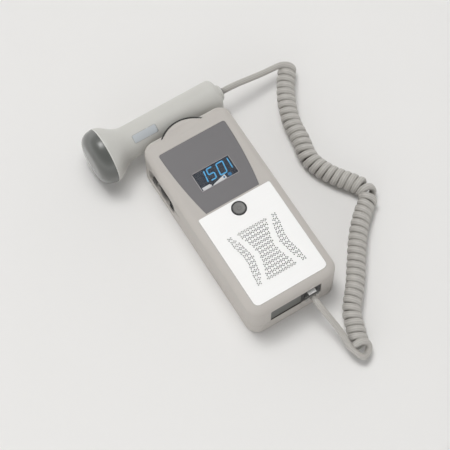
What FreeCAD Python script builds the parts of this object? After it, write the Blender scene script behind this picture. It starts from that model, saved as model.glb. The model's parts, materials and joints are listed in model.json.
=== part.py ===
"""Hand-held fetal doppler: a moulded case with a display and a speaker, a probe that rests in
the case's cradle, and the curly cord that joins the probe to the case.

Millimetres, +Z up. The origin is the centre of the case's flat base. +X runs across the case
and +Y along it, from the cord socket towards the probe.
"""
import FreeCAD, Part
import os
from math import cos, pi, radians, sin, sqrt, tan

V = FreeCAD.Vector
X, Y, Z = V(1, 0, 0), V(0, 1, 0), V(0, 0, 1)

# ---- case ----
CASE_W, CASE_L, CASE_H = 74.0, 160.0, 38.0
CORNER_R = 10.0            # corners in plan
SIDE_FILLET = 5.5          # top edge, long sides and socket end
PROBE_END_FILLET = 3.0     # top edge, probe end
BASE_FILLET = 2.0
WALL = 2.4
SEAM_Z = 12.8              # where the front and rear shells meet
LIP_H, LIP_IN = 1.2, 1.2   # tongue of the rear shell, and the wall outside it
GAP = 0.15                 # clearance between pieces that are set into each other
RECESS_Z = CASE_H - 0.8    # floor of the face recess that holds plate and panel
INNER_TOP = CASE_H - WALL  # underside of the face

# ---- speaker plate, display panel and button on the face ----
PLATE_X = 30.7
PLATE_Y = (-73.1, 6.6)
PLATE_R = (4.0, 1.5)                 # corners at the socket end and at the button end
PLATE_TOP = CASE_H + 0.05
PANEL_Y = (8.0, 66.8)
PANEL_HALF = (22.8, 27.1, 28.6)      # half widths at the bottom, at PANEL_WAIST_Y and at the top
PANEL_WAIST_Y = 37.0
PANEL_R = 2.0
PANEL_TOP = CASE_H - 0.1
WINDOW_Y = 32.6
WINDOW_HALF = (15.6, 7.8)
FRAME_RIM = 0.35
BUTTON_Y = -0.7
BUTTON_R, BEZEL_R = 4.75, 5.8
BUTTON_TRAVEL = 0.8

# ---- round lip of the front shell, over the cradle ----
LIP_DISC_X, LIP_DISC_Y, LIP_DISC_R = -2.1, 59.6, 24.1
LIP_CHORD_Y = 77.0
LIP_T = 2.4
LIP_EDGE_R = 1.1
HOLLOW_Y, HOLLOW_R, HOLLOW_DEPTH = 76.8, 12.0, 0.5     # shallow crease where the lip leaves the face
SEAM_GROOVE = (0.3, 0.4)                               # height and depth of the line round the case

# ---- perforations: rows of holes in three fields, a waisted one between two bands ----
HOLE_GRID = 1.19                      # columns are this far apart
HOLE_R = 0.6
ROW_PITCH = 3.35
ROW_COUNT = 13
GRILLE_Y = -37.9
FIELD_COLUMNS = (11, 9, 9, 7, 7, 7, 5)                 # outermost odd column, edge row to middle row
BAND_COLUMNS = ((15, 17), (13, 17), (13, 17), (11, 15), (11, 15), (11, 15), (9, 15))

# ---- boards and what they carry ----
BOARD_Z = (8.4, 10.0)
UPPER_BOARD_Z = (26.4, 28.0)
UPPER_BOARD_Y = (-12.0, 62.0)
SHELL_SCREWS = [(sx * 29.0, sy * 69.0) for sx in (-1, 1) for sy in (-1, 1)]
STANDOFFS = [(-26.0, -30.0), (26.0, -30.0), (-26.0, 22.0), (26.0, 22.0)]
UPPER_POSTS = [(-28.0, -8.0), (28.0, -8.0), (-28.0, 58.0), (28.0, 58.0)]
SPEAKER_R = 20.0
SPEAKER_Z = (27.4, 35.5)

# ---- battery bay in the rear shell ----
BATTERY = (26.5, 46.4, 17.5)
BAY_X = 13.8
BAY_Y = (-59.2, -6.2)
BAY_TOP = 20.4
BAY_WALL = 1.4
COVER_X, COVER_T = 15.9, 2.1
COVER_END_Y = -5.0
TONGUE = 1.1               # side tongues of the cover, and how far they reach into the case

# ---- controls in the left side wall ----
BAY_SIDE_Y = (31.0, 68.0)
BAY_SIDE_Z = (9.6, 26.0)
BAY_UPPER_R, BAY_LOWER_R = 8.0, 3.0
BAY_SIDE_DEPTH = 3.2
BAY_TAIL = [(21.5, 17.5), (31.5, 16.0), (31.5, 18.6)]  # (y, z) corners of the tail at the near end
SIDE_PANEL_T = 1.1         # thickness of the dark panel that lines the hollow
PAD_T = 1.8
CONTROL_Z = 13.5
WHEEL_Y, WHEEL_R, WHEEL_T = 48.5, 8.5, 3.0
WHEEL_PROUD = 3.2
WHEEL_TEETH = 40
AXLE_R = 1.5
JACK_Y, JACK_BARREL_R, JACK_BORE_R, JACK_DEPTH = 61.2, 2.9, 1.8, 13.0
JACK_MOUTH_X = -36.9
POWER_JACK_Y, POWER_JACK_W, POWER_JACK_H = 36.0, 6.0, 7.0
POWER_MOUTH_X = -36.4
POWER_BORE_R, POWER_PIN_R = 2.5, 0.7

# ---- socket end ----
END_RECESS_X = (-22.0, 21.0)
END_RECESS_Z = (15.0, 31.5)
END_RECESS_DEPTH = 1.4
SOCKET_X, SOCKET_W = 12.45, 16.3
SOCKET_Z = (15.6, 30.0)
SOCKET_BACK_Y = -61.0
PLUG_W, PLUG_Z = 11.68, (18.5, 25.1)
PLUG_Y = (-82.3, -62.6)
LATCH_W = 6.2

# ---- probe, a turned form about an axis along X ----
PROBE_Y, PROBE_Z = 95.4, 22.3
HANDLE_R = 13.2
HEAD_R = 22.0
RIM_X, FACE_X = -59.3, -71.9
TAIL_X = 43.8
PROBE_WALL = 2.3
NECK = [(-57.0, 21.7), (-54.0, 20.5), (-51.0, 18.5), (-48.0, 16.3), (-45.0, 14.7), (-42.0, 13.6),
        (-37.0, 13.1), (-28.0, 13.1), (-20.0, 13.1)]
TAIL = [(36.2, HANDLE_R), (37.8, 12.7), (39.0, 11.4), (39.9, 9.4), (40.5, 7.6), (41.0, 6.9), (42.6, 6.2),
        (43.5, 5.2), (TAIL_X, 4.4), (TAIL_X, 3.4)]
CAP_CURVE = [(RIM_X, HEAD_R), (-63.0, 21.6), (-66.0, 20.5), (-68.6, 18.4), (-70.4, 15.4), (-71.2, 12.0)]
SHELL_LINE_R = 0.35                   # groove along the housing's two halves

# ---- cradle on the probe end ----
CRADLE_X, CRADLE_HALF = -1.8, 14.0
CRADLE_GAP, CRADLE_T = 0.4, 2.4
CRADLE_ANGLES = (176.0, 338.0)        # from +Y round the probe's axis, towards +Z
LIFT_ANGLE = radians(20.0)            # the probe comes out this far from upright, away from the case
WEB_T = 1.7
SADDLE_Z = 28.6
CRADLE_SCREW_DX, CRADLE_SCREW_Z = 8.0, 32.0
STRIP_T, STRIP_Z = 1.2, (31.0, 37.4)  # soft strip round the lip, between it and the probe
STRIP_GAP = 0.35
STRIP_GROOVE_Z = 36.6                 # floor of the groove that takes the strip's two ends in the face

# ---- curly cord ----
WIRE_D = 4.8
COIL_D = 14.6
COIL_Z = COIL_D / 2
LEAD_A = [(44.3, 95.4, 22.3), (52.5, 95.4, 22.3), (63.5, 95.3, 20.3), (77.0, 95.1, 17.1),
          (89.0, 94.9, 14.9), (97.0, 94.4, 13.3), (102.0, 91.6, 12.3)]
COIL = [(101.5, 91.7), (93.0, 80.0), (85.5, 65.0), (80.2, 49.0), (79.6, 34.0), (74.6, 20.0),
        (77.5, 5.0), (85.0, -9.5), (94.5, -17.0), (97.6, -27.0), (93.8, -36.0), (83.0, -41.5),
        (72.0, -53.5), (59.5, -71.0), (46.5, -88.5), (33.2, -103.5), (27.2, -117.5), (27.0, -131.6)]
LEAD_B = [(30.0, -129.5, 6.5), (30.6, -135.5, 4.6), (25.5, -139.6, 3.0), (19.8, -136.5, 2.5),
          (18.6, -128.0, 2.4), (19.0, -120.5, 2.5), (19.5, -113.5, 3.0), (18.8, -107.0, 6.0),
          (16.8, -100.5, 11.6), (13.9, -94.5, 17.4), (12.45, -88.5, 21.6), (12.45, -82.3, 21.6)]


# ---------------------------------------------------------------- helpers
def box(x0, x1, y0, y1, z0, z1):
    return Part.makeBox(x1 - x0, y1 - y0, z1 - z0, V(x0, y0, z0))


def disc(x, y, z0, z1, r):
    return Part.makeCylinder(r, z1 - z0, V(x, y, z0))


def rod_x(x0, x1, y, z, r):
    return Part.makeCylinder(r, x1 - x0, V(x0, y, z), X)


def rod_y(y0, y1, x, z, r):
    return Part.makeCylinder(r, y1 - y0, V(x, y0, z), Y)


def slab(x0, x1, y0, y1, z0, z1, r):
    """A plate with its four upright edges rounded."""
    block = box(x0, x1, y0, y1, z0, z1)
    upright = [e for e in block.Edges if abs(e.Vertexes[0].Z - e.Vertexes[1].Z) > 1e-6]
    return block.makeFillet(r, upright)


def wall_slab(x0, x1, y0, y1, z0, z1, r):
    """A plate that stands across Y, with its four corners rounded."""
    plate = slab(x0, x1, z0, z1, -y1, -y0, r)
    plate.rotate(V(0, 0, 0), X, 90)
    return plate


def edges_at(shape, z):
    """The edges that lie whole in the level plane at z."""
    return [e for e in shape.Edges if abs(e.BoundBox.ZMin - z) < 1e-4 and abs(e.BoundBox.ZMax - z) < 1e-4]


def polygon(points, normal_shift):
    """The solid between a closed polygon and its copy moved by normal_shift."""
    wire = Part.makePolygon(points + [points[0]])
    return Part.Face(wire).extrude(normal_shift)


def turned(profile_edges, angle=360.0):
    """Turns a flat profile about the probe's axis, from +Y towards +Z for a positive angle."""
    face = Part.Face(Part.Wire(Part.sortEdges(profile_edges)[0]))
    return face.revolve(V(0, PROBE_Y, PROBE_Z), X, angle)


def at(x, r):
    """The point of the probe's profile at x along the axis and radius r."""
    return V(x, PROBE_Y + r, PROBE_Z)


def line(*points):
    return [Part.LineSegment(at(*a), at(*b)).toShape() for a, b in zip(points, points[1:])]


def curve(points):
    spline = Part.BSplineCurve()
    spline.interpolate([at(*p) for p in points])
    return [spline.toShape()]


def fuse_all(shapes):
    return shapes[0].multiFuse(shapes[1:]).removeSplitter()


def write(node, *solids):
    shape = solids[0] if len(solids) == 1 else Part.makeCompound(list(solids))
    valid = "valid" if shape.isValid() else "NOT VALID"
    print(f"{node:24s} {len(shape.Solids):3d} solid(s) {shape.Volume / 1000:9.3f} cm3  {valid}")
    shape.exportStep(f"parts/{node}.step")


# ---------------------------------------------------------------- case
def case_block(inset=0.0):
    """The case's outer form, or the form that lies inset inside it."""
    x, y, z1 = CASE_W / 2 - inset, CASE_L / 2 - inset, CASE_H - inset
    past = 30.0
    corner, base = CORNER_R - inset, max(BASE_FILLET - inset, 0.5)
    sides = slab(-x, x, -y, y + past, inset, z1, corner)
    sides = sides.makeFillet(SIDE_FILLET - inset, edges_at(sides, z1))
    end = slab(-x, x, -y - past, y, inset, z1, corner)
    end = end.makeFillet(PROBE_END_FILLET - inset, edges_at(end, z1))
    whole = sides.common(end)
    return whole.makeFillet(base, edges_at(whole, inset))


def panel_outline(grow=0.0):
    """The display panel's edge: sides that bow out a little between a narrow foot and a wide top."""
    (y0, y1), (foot, waist, top) = PANEL_Y, PANEL_HALF
    y0, y1 = y0 - grow, y1 + grow
    foot, waist, top = foot + grow, waist + grow, top + grow
    z = RECESS_Z
    right = Part.Arc(V(foot, y0, z), V(waist, PANEL_WAIST_Y, z), V(top, y1, z)).toShape()
    left = Part.Arc(V(-top, y1, z), V(-waist, PANEL_WAIST_Y, z), V(-foot, y0, z)).toShape()
    head = Part.LineSegment(V(top, y1, z), V(-top, y1, z)).toShape()
    base = Part.LineSegment(V(-foot, y0, z), V(foot, y0, z)).toShape()
    return Part.Face(Part.Wire([right, head, left, base]))


def panel_solid(top_z, grow=0.0):
    solid = panel_outline(grow).extrude(Z * (top_z - RECESS_Z))
    upper = [e for e in solid.Edges
             if e.Vertexes[0].Point.sub(e.Vertexes[-1].Point).Length > 1e-6
             and abs(e.Vertexes[0].X - e.Vertexes[-1].X) < 1e-6
             and abs(e.Vertexes[0].Y - e.Vertexes[-1].Y) < 1e-6
             and e.Vertexes[0].Y > PANEL_WAIST_Y]
    return solid.makeFillet(PANEL_R + grow, upper)


def side_bay(x0, x1, shrink=0.0):
    """The form of the hollow in the left wall: rounder above than below."""
    (y0, y1), (z0, z1) = BAY_SIDE_Y, BAY_SIDE_Z
    block = box(x0, x1, y0 + shrink, y1 - shrink, z0 + shrink, z1 - shrink)
    upper = [e for e in block.Edges if e.BoundBox.XLength > 1e-3 and e.BoundBox.ZMin > (z0 + z1) / 2]
    block = block.makeFillet(BAY_UPPER_R - shrink, upper)
    lower = [e for e in block.Edges if e.BoundBox.XLength > 1e-3 and e.BoundBox.ZMax < z0 + shrink + 1e-3]
    return block.makeFillet(BAY_LOWER_R - shrink, [e for e in lower if e.BoundBox.YLength < 1e-3])


def side_hollow():
    """The hollow that holds the wheel and the sockets, with the thin tail at its near end."""
    x0, x1 = -CASE_W / 2 - 1, bay_floor_x()
    return side_bay(x0, x1).fuse(bay_tail(x0, x1))


def bay_tail(x0, x1):
    return polygon([V(x0, y, z) for y, z in BAY_TAIL], X * (x1 - x0))


def side_pad():
    """The thicker wall behind the side hollow."""
    x0, x1 = -CASE_W / 2 + WALL - 0.5, bay_floor_x() + PAD_T
    return box(x0, x1, BAY_TAIL[0][0] - 2, BAY_SIDE_Y[1] + 2, BAY_SIDE_Z[0] - 2, BAY_SIDE_Z[1] + 2)


def bay_floor_x():
    return -CASE_W / 2 + BAY_SIDE_DEPTH


def wheel_x():
    return bay_floor_x() - WHEEL_PROUD + WHEEL_R


def side_openings():
    """What is cut through the side hollow's floor: the wheel's slot and the two sockets' places."""
    x0, x1 = bay_floor_x() - SIDE_PANEL_T - 1, bay_floor_x() + PAD_T + 1
    half = sqrt(WHEEL_R ** 2 - (WHEEL_R - WHEEL_PROUD - PAD_T) ** 2) + 0.4
    z = CONTROL_Z
    slot = box(x0, x1, WHEEL_Y - half, WHEEL_Y + half, z - WHEEL_T / 2 - 0.5, z + WHEEL_T / 2 + 0.5)
    jack = rod_x(x0, x1, JACK_Y, z, JACK_BARREL_R + GAP)
    w, h = POWER_JACK_W / 2 + GAP, POWER_JACK_H / 2 + GAP
    power = box(x0, x1, POWER_JACK_Y - w, POWER_JACK_Y + w, z - h, z + h)
    return [slot, jack, power]


def side_panel():
    """The dark panel that lines the hollow and fills its tail almost out to the wall."""
    floor = bay_floor_x()
    plate = side_bay(floor - SIDE_PANEL_T, floor, 0.1)
    tail = bay_tail(-CASE_W / 2 + 0.3, floor)
    return cut_each(fuse_all([plate, tail]), side_openings())


def lip_disc(z0, z1, r, chord_y):
    """The part of the lip's disc beyond a chord."""
    whole = disc(LIP_DISC_X, LIP_DISC_Y, z0, z1, r)
    beyond = box(-40, 40, chord_y, chord_y + 30, z0 - 1, z1 + 1)
    return whole.common(beyond)


def case_lip():
    """The round lip that carries the face on over the cradle."""
    lip = lip_disc(CASE_H - LIP_T, CASE_H, LIP_DISC_R, LIP_CHORD_Y)
    return lip.makeFillet(LIP_EDGE_R, [e for e in edges_at(lip, CASE_H) if e.BoundBox.YMax > CASE_L / 2])


def lip_hollow():
    """A spindle that leaves a shallow crease, deepest at the lip's middle, where it leaves the face."""
    half, z = LIP_DISC_R * 0.66, CASE_H + HOLLOW_R - HOLLOW_DEPTH
    ends = HOLLOW_R - HOLLOW_DEPTH

    def place(x, r):
        return V(LIP_DISC_X + x, HOLLOW_Y, z - r)
    bow = Part.Arc(place(-half, ends), place(0, HOLLOW_R), place(half, ends)).toShape()
    sides = [Part.LineSegment(place(a, b), place(c, d)).toShape()
             for a, b, c, d in ((half, ends, half, 0), (half, 0, -half, 0), (-half, 0, -half, ends))]
    return Part.Face(Part.Wire([bow] + sides)).revolve(V(0, HOLLOW_Y, z), X, 360)


def seam_groove():
    height, depth = SEAM_GROOVE
    return box(-50, 50, -100, 100, SEAM_Z, SEAM_Z + height).cut(case_block(depth))


def front_shell():
    upper = box(-50, 50, -100, 100, SEAM_Z, 50)
    shell = case_block().common(upper).cut(case_block(WALL))
    (x0, x1), (z0, z1) = END_RECESS_X, END_RECESS_Z
    y_end = -CASE_L / 2
    posts = [disc(x, y, SEAM_Z + GAP, INNER_TOP + 0.2, 3.2) for x, y in SHELL_SCREWS]
    posts += [disc(x, y, UPPER_BOARD_Z[1], INNER_TOP + 0.2, 2.6) for x, y in UPPER_POSTS]
    shell = fuse_all([shell, case_lip(), side_pad().common(upper)] + posts)
    step = LIP_IN - GAP
    rebate = case_block(step).cut(case_block(WALL + 0.4)).common(
        box(-50, 50, -100, 100, SEAM_Z - 1, SEAM_Z + LIP_H + GAP))
    cuts = [rebate.cut(side_pad()), lip_hollow(), seam_groove(), strip_band(STRIP_GROOVE_Z, 45)]
    cuts += [plate_form(45, GAP), panel_solid(CASE_H + 2, GAP)]
    cuts += [slab(-22.5, 22.5, GRILLE_Y - 22.0, GRILLE_Y + 22.0, 30, 45, 3.0)]
    wx, wy = WINDOW_HALF
    cuts += [box(-wx - 1.4, wx + 1.4, WINDOW_Y - wy - 1.4, WINDOW_Y + wy + 1.4, 30, 45)]
    cuts += [disc(0, BUTTON_Y, 30, 45, BUTTON_R + 0.25)]
    cuts += [disc(x, y, SEAM_Z, SEAM_Z + 16, 1.1) for x, y in SHELL_SCREWS]
    cuts += [disc(x, y, UPPER_BOARD_Z[1] - 1, UPPER_BOARD_Z[1] + 5.5, 0.9) for x, y in UPPER_POSTS]
    cuts += [side_hollow()] + side_openings()
    cuts += [wall_slab(x0, x1, y_end - 1, y_end + END_RECESS_DEPTH, z0, z1, 1.2)]
    sx = SOCKET_W / 2 + GAP
    cuts += [box(SOCKET_X - sx, SOCKET_X + sx, y_end - 1, y_end + WALL + 1, SOCKET_Z[0] - GAP,
                 SOCKET_Z[1] + GAP)]
    cuts += [rod_y(70, 82, x, CRADLE_SCREW_Z, 1.3) for x in cradle_screw_places()]
    return cut_each(shell, cuts)


def cut_each(shape, cutters):
    for cutter in cutters:
        shape = shape.cut(cutter)
    return shape


def rear_shell():
    lower = box(-50, 50, -100, 100, -1, SEAM_Z)
    shell = case_block().common(lower).cut(case_block(WALL))
    lip = case_block(LIP_IN).cut(case_block(WALL)).common(
        box(-50, 50, -100, 100, SEAM_Z - 1, SEAM_Z + LIP_H)).cut(side_pad())
    y_bay0, y_bay1 = BAY_Y
    cover_pad = box(-BAY_X - 5, BAY_X + 5, -CASE_L / 2 + 1, COVER_END_Y + 2, 1, COVER_T + GAP + 1.6)
    bay = box(-BAY_X - BAY_WALL, BAY_X + BAY_WALL, y_bay0 - BAY_WALL, y_bay1 + BAY_WALL,
              1, BAY_TOP + BAY_WALL)
    bosses = [disc(x, y, 1, SEAM_Z, 4.2) for x, y in SHELL_SCREWS]
    bosses += [disc(x, y, 1, BOARD_Z[0], 3.0) for x, y in STANDOFFS]
    shell = fuse_all([shell, lip, side_pad().common(lower), cover_pad.common(case_block(0.5)), bay] + bosses)
    cuts = [box(-BAY_X, BAY_X, y_bay0, y_bay1, -1, BAY_TOP)]
    cuts += [cover_space()]
    cuts += [disc(x, y, -1, 4.5, 3.1) for x, y in SHELL_SCREWS]
    cuts += [disc(x, y, 0, SEAM_Z + 1, 1.6) for x, y in SHELL_SCREWS]
    cuts += [disc(x, y, 3.5, BOARD_Z[0] + 1, 0.9) for x, y in STANDOFFS]
    cuts += [side_hollow()] + side_openings()
    return cut_each(shell, cuts)


# ---------------------------------------------------------------- battery bay
def cover_form(grow, z_low, y0, y1):
    """A plate with a tongue along each side, which slides in the case's grooves."""
    plate = box(-COVER_X - grow, COVER_X + grow, y0, y1, z_low, COVER_T + grow)
    tongues = box(-COVER_X - TONGUE - grow, COVER_X + TONGUE + grow, y0, y1,
                  COVER_T - TONGUE - grow, COVER_T + grow)
    return plate.fuse(tongues)


def cover_space():
    return cover_form(GAP, -1, -CASE_L / 2 - 1, COVER_END_Y + GAP)


def battery_cover():
    cover = cover_form(0.0, 0.0, -CASE_L / 2 - 1, COVER_END_Y).common(case_block())
    grip_y = [COVER_END_Y - 9.0 - 2.4 * i for i in range(6)]
    grips = [box(-7.0, 7.0, y - 0.6, y + 0.6, -1, 0.6) for y in grip_y]
    return cut_each(cover.removeSplitter(), grips)


def battery():
    width, length, height = BATTERY
    y1 = BAY_Y[1] - 0.3
    z0 = COVER_T + 0.5
    block = slab(-width / 2, width / 2, y1 - length, y1, z0, z0 + height, 2.0)
    terminals = [rod_y(y1 - length - 2.6, y1 - length + 0.2, x, z0 + height / 2, r)
                 for x, r in ((-6.35, 2.8), (6.35, 3.6))]
    return fuse_all([block] + terminals)


def battery_snap():
    y0 = BAY_Y[0] + 0.3
    z = COVER_T + 0.5 + BATTERY[2] / 2
    plate = box(-12.5, 12.5, y0, y0 + 1.2, z - 7.5, z + 7.5)
    rings = [rod_y(y0 + 1.2, y0 + 3.4, x, z, r + 0.9).cut(rod_y(y0 + 1.2, y0 + 4, x, z, r + 0.05))
             for x, r in ((-6.35, 2.8), (6.35, 3.6))]
    return fuse_all([plate] + rings)


# ---------------------------------------------------------------- face pieces
def grille_holes():
    """The (x, y) of the plate's holes, row by row, from the edge rows to the middle row."""
    half = ROW_COUNT // 2
    for row in range(ROW_COUNT):
        y = GRILLE_Y + (half - row) * ROW_PITCH
        step = half - abs(row - half)
        columns = list(range(-FIELD_COLUMNS[step], FIELD_COLUMNS[step] + 1, 2))
        first, last = BAND_COLUMNS[step]
        band = list(range(first, last + 1, 2))
        for column in columns + band + [-c for c in band]:
            yield column * HOLE_GRID, y


def plate_form(top_z, grow=0.0):
    """The speaker plate's form, or the recess that takes it."""
    x = PLATE_X + grow
    ends = (PLATE_Y[0] - grow, PLATE_Y[1] + grow)
    block = box(-x, x, *ends, RECESS_Z, top_z)
    for y, r in zip(ends, PLATE_R):
        upright = [e for e in block.Edges if e.BoundBox.XLength < 1e-3 and e.BoundBox.YLength < 1e-3
                   and abs(e.Vertexes[0].Y - y) < 1e-3]
        block = block.makeFillet(r + grow, upright)
    return block


def speaker_plate():
    plate = plate_form(PLATE_TOP)
    holes = []
    for x, y in grille_holes():
        corners = [V(x + HOLE_R * cos(k * pi / 3), y + HOLE_R * sin(k * pi / 3), RECESS_Z - 1)
                   for k in range(6)]
        holes.append(polygon(corners, Z * 4))
    holes.append(disc(0, BUTTON_Y, 30, 45, BEZEL_R + 0.1))
    return plate.cut(Part.makeCompound(holes))


def display_panel():
    wx, wy = WINDOW_HALF
    rim = FRAME_RIM + 0.1
    window = box(-wx - rim, wx + rim, WINDOW_Y - wy - rim, WINDOW_Y + wy + rim, 30, 45)
    return panel_solid(PANEL_TOP).cut(window)


def window_frame():
    wx, wy = WINDOW_HALF
    y0, y1, rim = WINDOW_Y - wy, WINDOW_Y + wy, FRAME_RIM
    outer = slab(-wx - rim, wx + rim, y0 - rim, y1 + rim, RECESS_Z, PANEL_TOP + 0.1, 0.6)
    return outer.cut(box(-wx, wx, y0, y1, 30, 45))


def display_lens():
    wx, wy = WINDOW_HALF[0] - 0.05, WINDOW_HALF[1] - 0.05
    return box(-wx, wx, WINDOW_Y - wy, WINDOW_Y + wy, RECESS_Z + 0.1, PANEL_TOP - 0.1)


def display_glass():
    wx, wy = WINDOW_HALF[0] + 1.2, WINDOW_HALF[1] + 1.2
    return box(-wx, wx, WINDOW_Y - wy, WINDOW_Y + wy, RECESS_Z - 3.0, RECESS_Z)


def display_carrier():
    """The moulded frame that lifts the display glass off the upper board."""
    outer = slab(-19.5, 19.5, WINDOW_Y - 12, WINDOW_Y + 12, UPPER_BOARD_Z[1], RECESS_Z - 3.0, 1.5)
    return outer.cut(box(-15.5, 15.5, WINDOW_Y - 8.5, WINDOW_Y + 8.5, 20, 45))


def button_bezel():
    ring = disc(0, BUTTON_Y, RECESS_Z, CASE_H + 0.35, BEZEL_R)
    ring = ring.cut(disc(0, BUTTON_Y, 30, 45, BUTTON_R + 0.2))
    outer_top = [e for e in edges_at(ring, CASE_H + 0.35) if e.Length > 2 * pi * (BEZEL_R - 0.1)]
    return ring.makeFillet(0.25, outer_top)


def power_button():
    """A domed cap with a flange under the face and a stem down to the switch."""
    cap = disc(0, BUTTON_Y, INNER_TOP - 0.8, CASE_H + 0.6, BUTTON_R)
    cap = cap.makeFillet(0.5, edges_at(cap, CASE_H + 0.6))
    dish_r = 24.0
    dish = Part.makeSphere(dish_r, V(0, BUTTON_Y, CASE_H + 0.45 + dish_r - 0.25))
    flange = disc(0, BUTTON_Y, INNER_TOP - 1.5, INNER_TOP - 0.3, BUTTON_R + 1.4)
    stem = disc(0, BUTTON_Y, switch_top(), INNER_TOP - 1.0, 1.5)
    return fuse_all([cap.cut(dish), flange, stem])


def switch_top():
    return UPPER_BOARD_Z[1] + 4.4


def tact_switch():
    z = UPPER_BOARD_Z[1]
    body = slab(-3.0, 3.0, BUTTON_Y - 3.0, BUTTON_Y + 3.0, z, z + 3.5, 0.4)
    return body.cut(disc(0, BUTTON_Y, z + 1.0, z + 5, 1.95))


def switch_plunger():
    z = UPPER_BOARD_Z[1] + 1.0 + BUTTON_TRAVEL + 0.2
    return disc(0, BUTTON_Y, z, switch_top(), 1.75)


def speaker_profile(points):
    """Turns an (r, z) outline about the speaker's upright axis."""
    wire = Part.makePolygon([V(r, GRILLE_Y, z) for r, z in points + [points[0]]])
    return Part.Face(wire).revolve(V(0, GRILLE_Y, 0), Z, 360)


def speaker_basket():
    z0, z1 = SPEAKER_Z
    r = SPEAKER_R
    return speaker_profile([(r, z1), (r - 2.2, z1), (r - 2.2, z1 - 1.2), (8.6, z0 + 3.4), (8.6, z0 + 2.4),
                            (10.5, z0 + 2.4), (r, z1 - 1.6)])


def speaker_cone():
    z0, z1 = SPEAKER_Z
    r = SPEAKER_R - 2.3
    return speaker_profile([(r, z1 - 0.2), (r, z1 - 0.8), (6.0, z0 + 4.2), (0, z0 + 5.8), (0, z0 + 6.5),
                            (6.0, z0 + 4.9)])


def speaker_magnet():
    z0 = SPEAKER_Z[0]
    return disc(0, GRILLE_Y, z0, z0 + 2.4, 11.5)


# ---------------------------------------------------------------- boards, controls
def main_board():
    board = slab(-33.4, 33.4, -77.0, 77.0, BOARD_Z[0], BOARD_Z[1], 8.0)
    y_bay0, y_bay1 = BAY_Y
    edge = BAY_WALL + 0.5
    cuts = [box(-BAY_X - edge, BAY_X + edge, y_bay0 - edge, y_bay1 + edge, 0, 30)]
    cuts += [box(-40, bay_floor_x() + PAD_T + 0.3, BAY_TAIL[0][0] - 2.5, BAY_SIDE_Y[1] + 2.5, 0, 30)]
    cuts += [disc(x, y, 0, 30, 4.5) for x, y in SHELL_SCREWS]
    cuts += [disc(x, y, 0, 30, 1.2) for x, y in STANDOFFS]
    return cut_each(board, cuts)


def display_board():
    z0, z1 = UPPER_BOARD_Z
    board = slab(-31.0, 31.0, UPPER_BOARD_Y[0], UPPER_BOARD_Y[1], z0, z1, 2.0)
    return cut_each(board, [disc(x, y, z0 - 1, z1 + 1, 1.2) for x, y in UPPER_POSTS])


def board_link():
    """The pin header that carries the display board's signals up from the main board."""
    return box(22.0, 25.0, 40.0, 58.0, BOARD_Z[1], UPPER_BOARD_Z[0])


def screw(x, y, z, head_r, head_h, shank_r, length):
    """A screw driven upwards, with its head's face at z and a cross recess in it."""
    head = disc(x, y, z, z + head_h, head_r)
    shank = disc(x, y, z + head_h, z + head_h + length, shank_r)
    slot = head_r * 0.62
    cross = [box(x - slot, x + slot, y - 0.3, y + 0.3, z - 1, z + head_h * 0.5),
             box(x - 0.3, x + 0.3, y - slot, y + slot, z - 1, z + head_h * 0.5)]
    return cut_each(head.fuse(shank), cross)


def shell_screws():
    return [screw(x, y, 2.3, 2.8, 2.2, 1.05, 20.0) for x, y in SHELL_SCREWS]


def board_screws():
    """The screws of both boards: the main board's stand heads up, the display board's heads down."""
    main = []
    for x, y in STANDOFFS:
        one = screw(x, y, 0, 2.2, 1.5, 0.85, 6.0)
        one.rotate(V(x, y, 0), X, 180)
        one.translate(Z * (BOARD_Z[1] + 1.5))
        main.append(one)
    return main + [screw(x, y, UPPER_BOARD_Z[0] - 1.5, 2.2, 1.5, 0.85, 6.0) for x, y in UPPER_POSTS]


def volume_wheel():
    """A thumbwheel with V-notched rim, lying level, its rim out through the side slot."""
    x, tip, root = wheel_x(), WHEEL_R, WHEEL_R - 0.45
    points = []
    for i in range(2 * WHEEL_TEETH):
        r, a = (tip, root)[i % 2], i * pi / WHEEL_TEETH
        points.append(V(x + r * cos(a), WHEEL_Y + r * sin(a), CONTROL_Z - WHEEL_T / 2))
    wheel = polygon(points, Z * WHEEL_T)
    hollow = disc(x, WHEEL_Y, CONTROL_Z + WHEEL_T / 2 - 0.8, CONTROL_Z + 5, 6.2)
    return wheel.cut(hollow).cut(disc(x, WHEEL_Y, 0, 30, AXLE_R - 0.02))


def volume_axle():
    return disc(wheel_x(), WHEEL_Y, BOARD_Z[1] + 0.3, CONTROL_Z + WHEEL_T / 2 + 0.6, AXLE_R - 0.02)


def volume_control():
    """The rotary control's body on the main board, with the axle's hole."""
    x = wheel_x()
    z1 = CONTROL_Z - WHEEL_T / 2 - 0.25
    body = box(x - 3.2, x + 7, WHEEL_Y - 6, WHEEL_Y + 6, BOARD_Z[1], z1)
    return body.cut(disc(x, WHEEL_Y, BOARD_Z[1] + 0.2, 30, AXLE_R + 0.05))


def headphone_jack():
    """A barrel that stands out of the hollow's floor, and the box behind it on the board."""
    x0, z = JACK_MOUTH_X, CONTROL_Z
    body_x = bay_floor_x() + PAD_T + 0.2
    barrel = rod_x(x0, body_x, JACK_Y, z, JACK_BARREL_R)
    barrel = barrel.makeFillet(0.4, [e for e in barrel.Edges if e.BoundBox.XMax < x0 + 1e-3])
    body = box(body_x, body_x + 13, JACK_Y - 3.2, JACK_Y + 3.2, BOARD_Z[1], z + 3.2)
    return fuse_all([barrel, body]).cut(rod_x(x0 - 1, x0 + JACK_DEPTH, JACK_Y, z, JACK_BORE_R))


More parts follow.
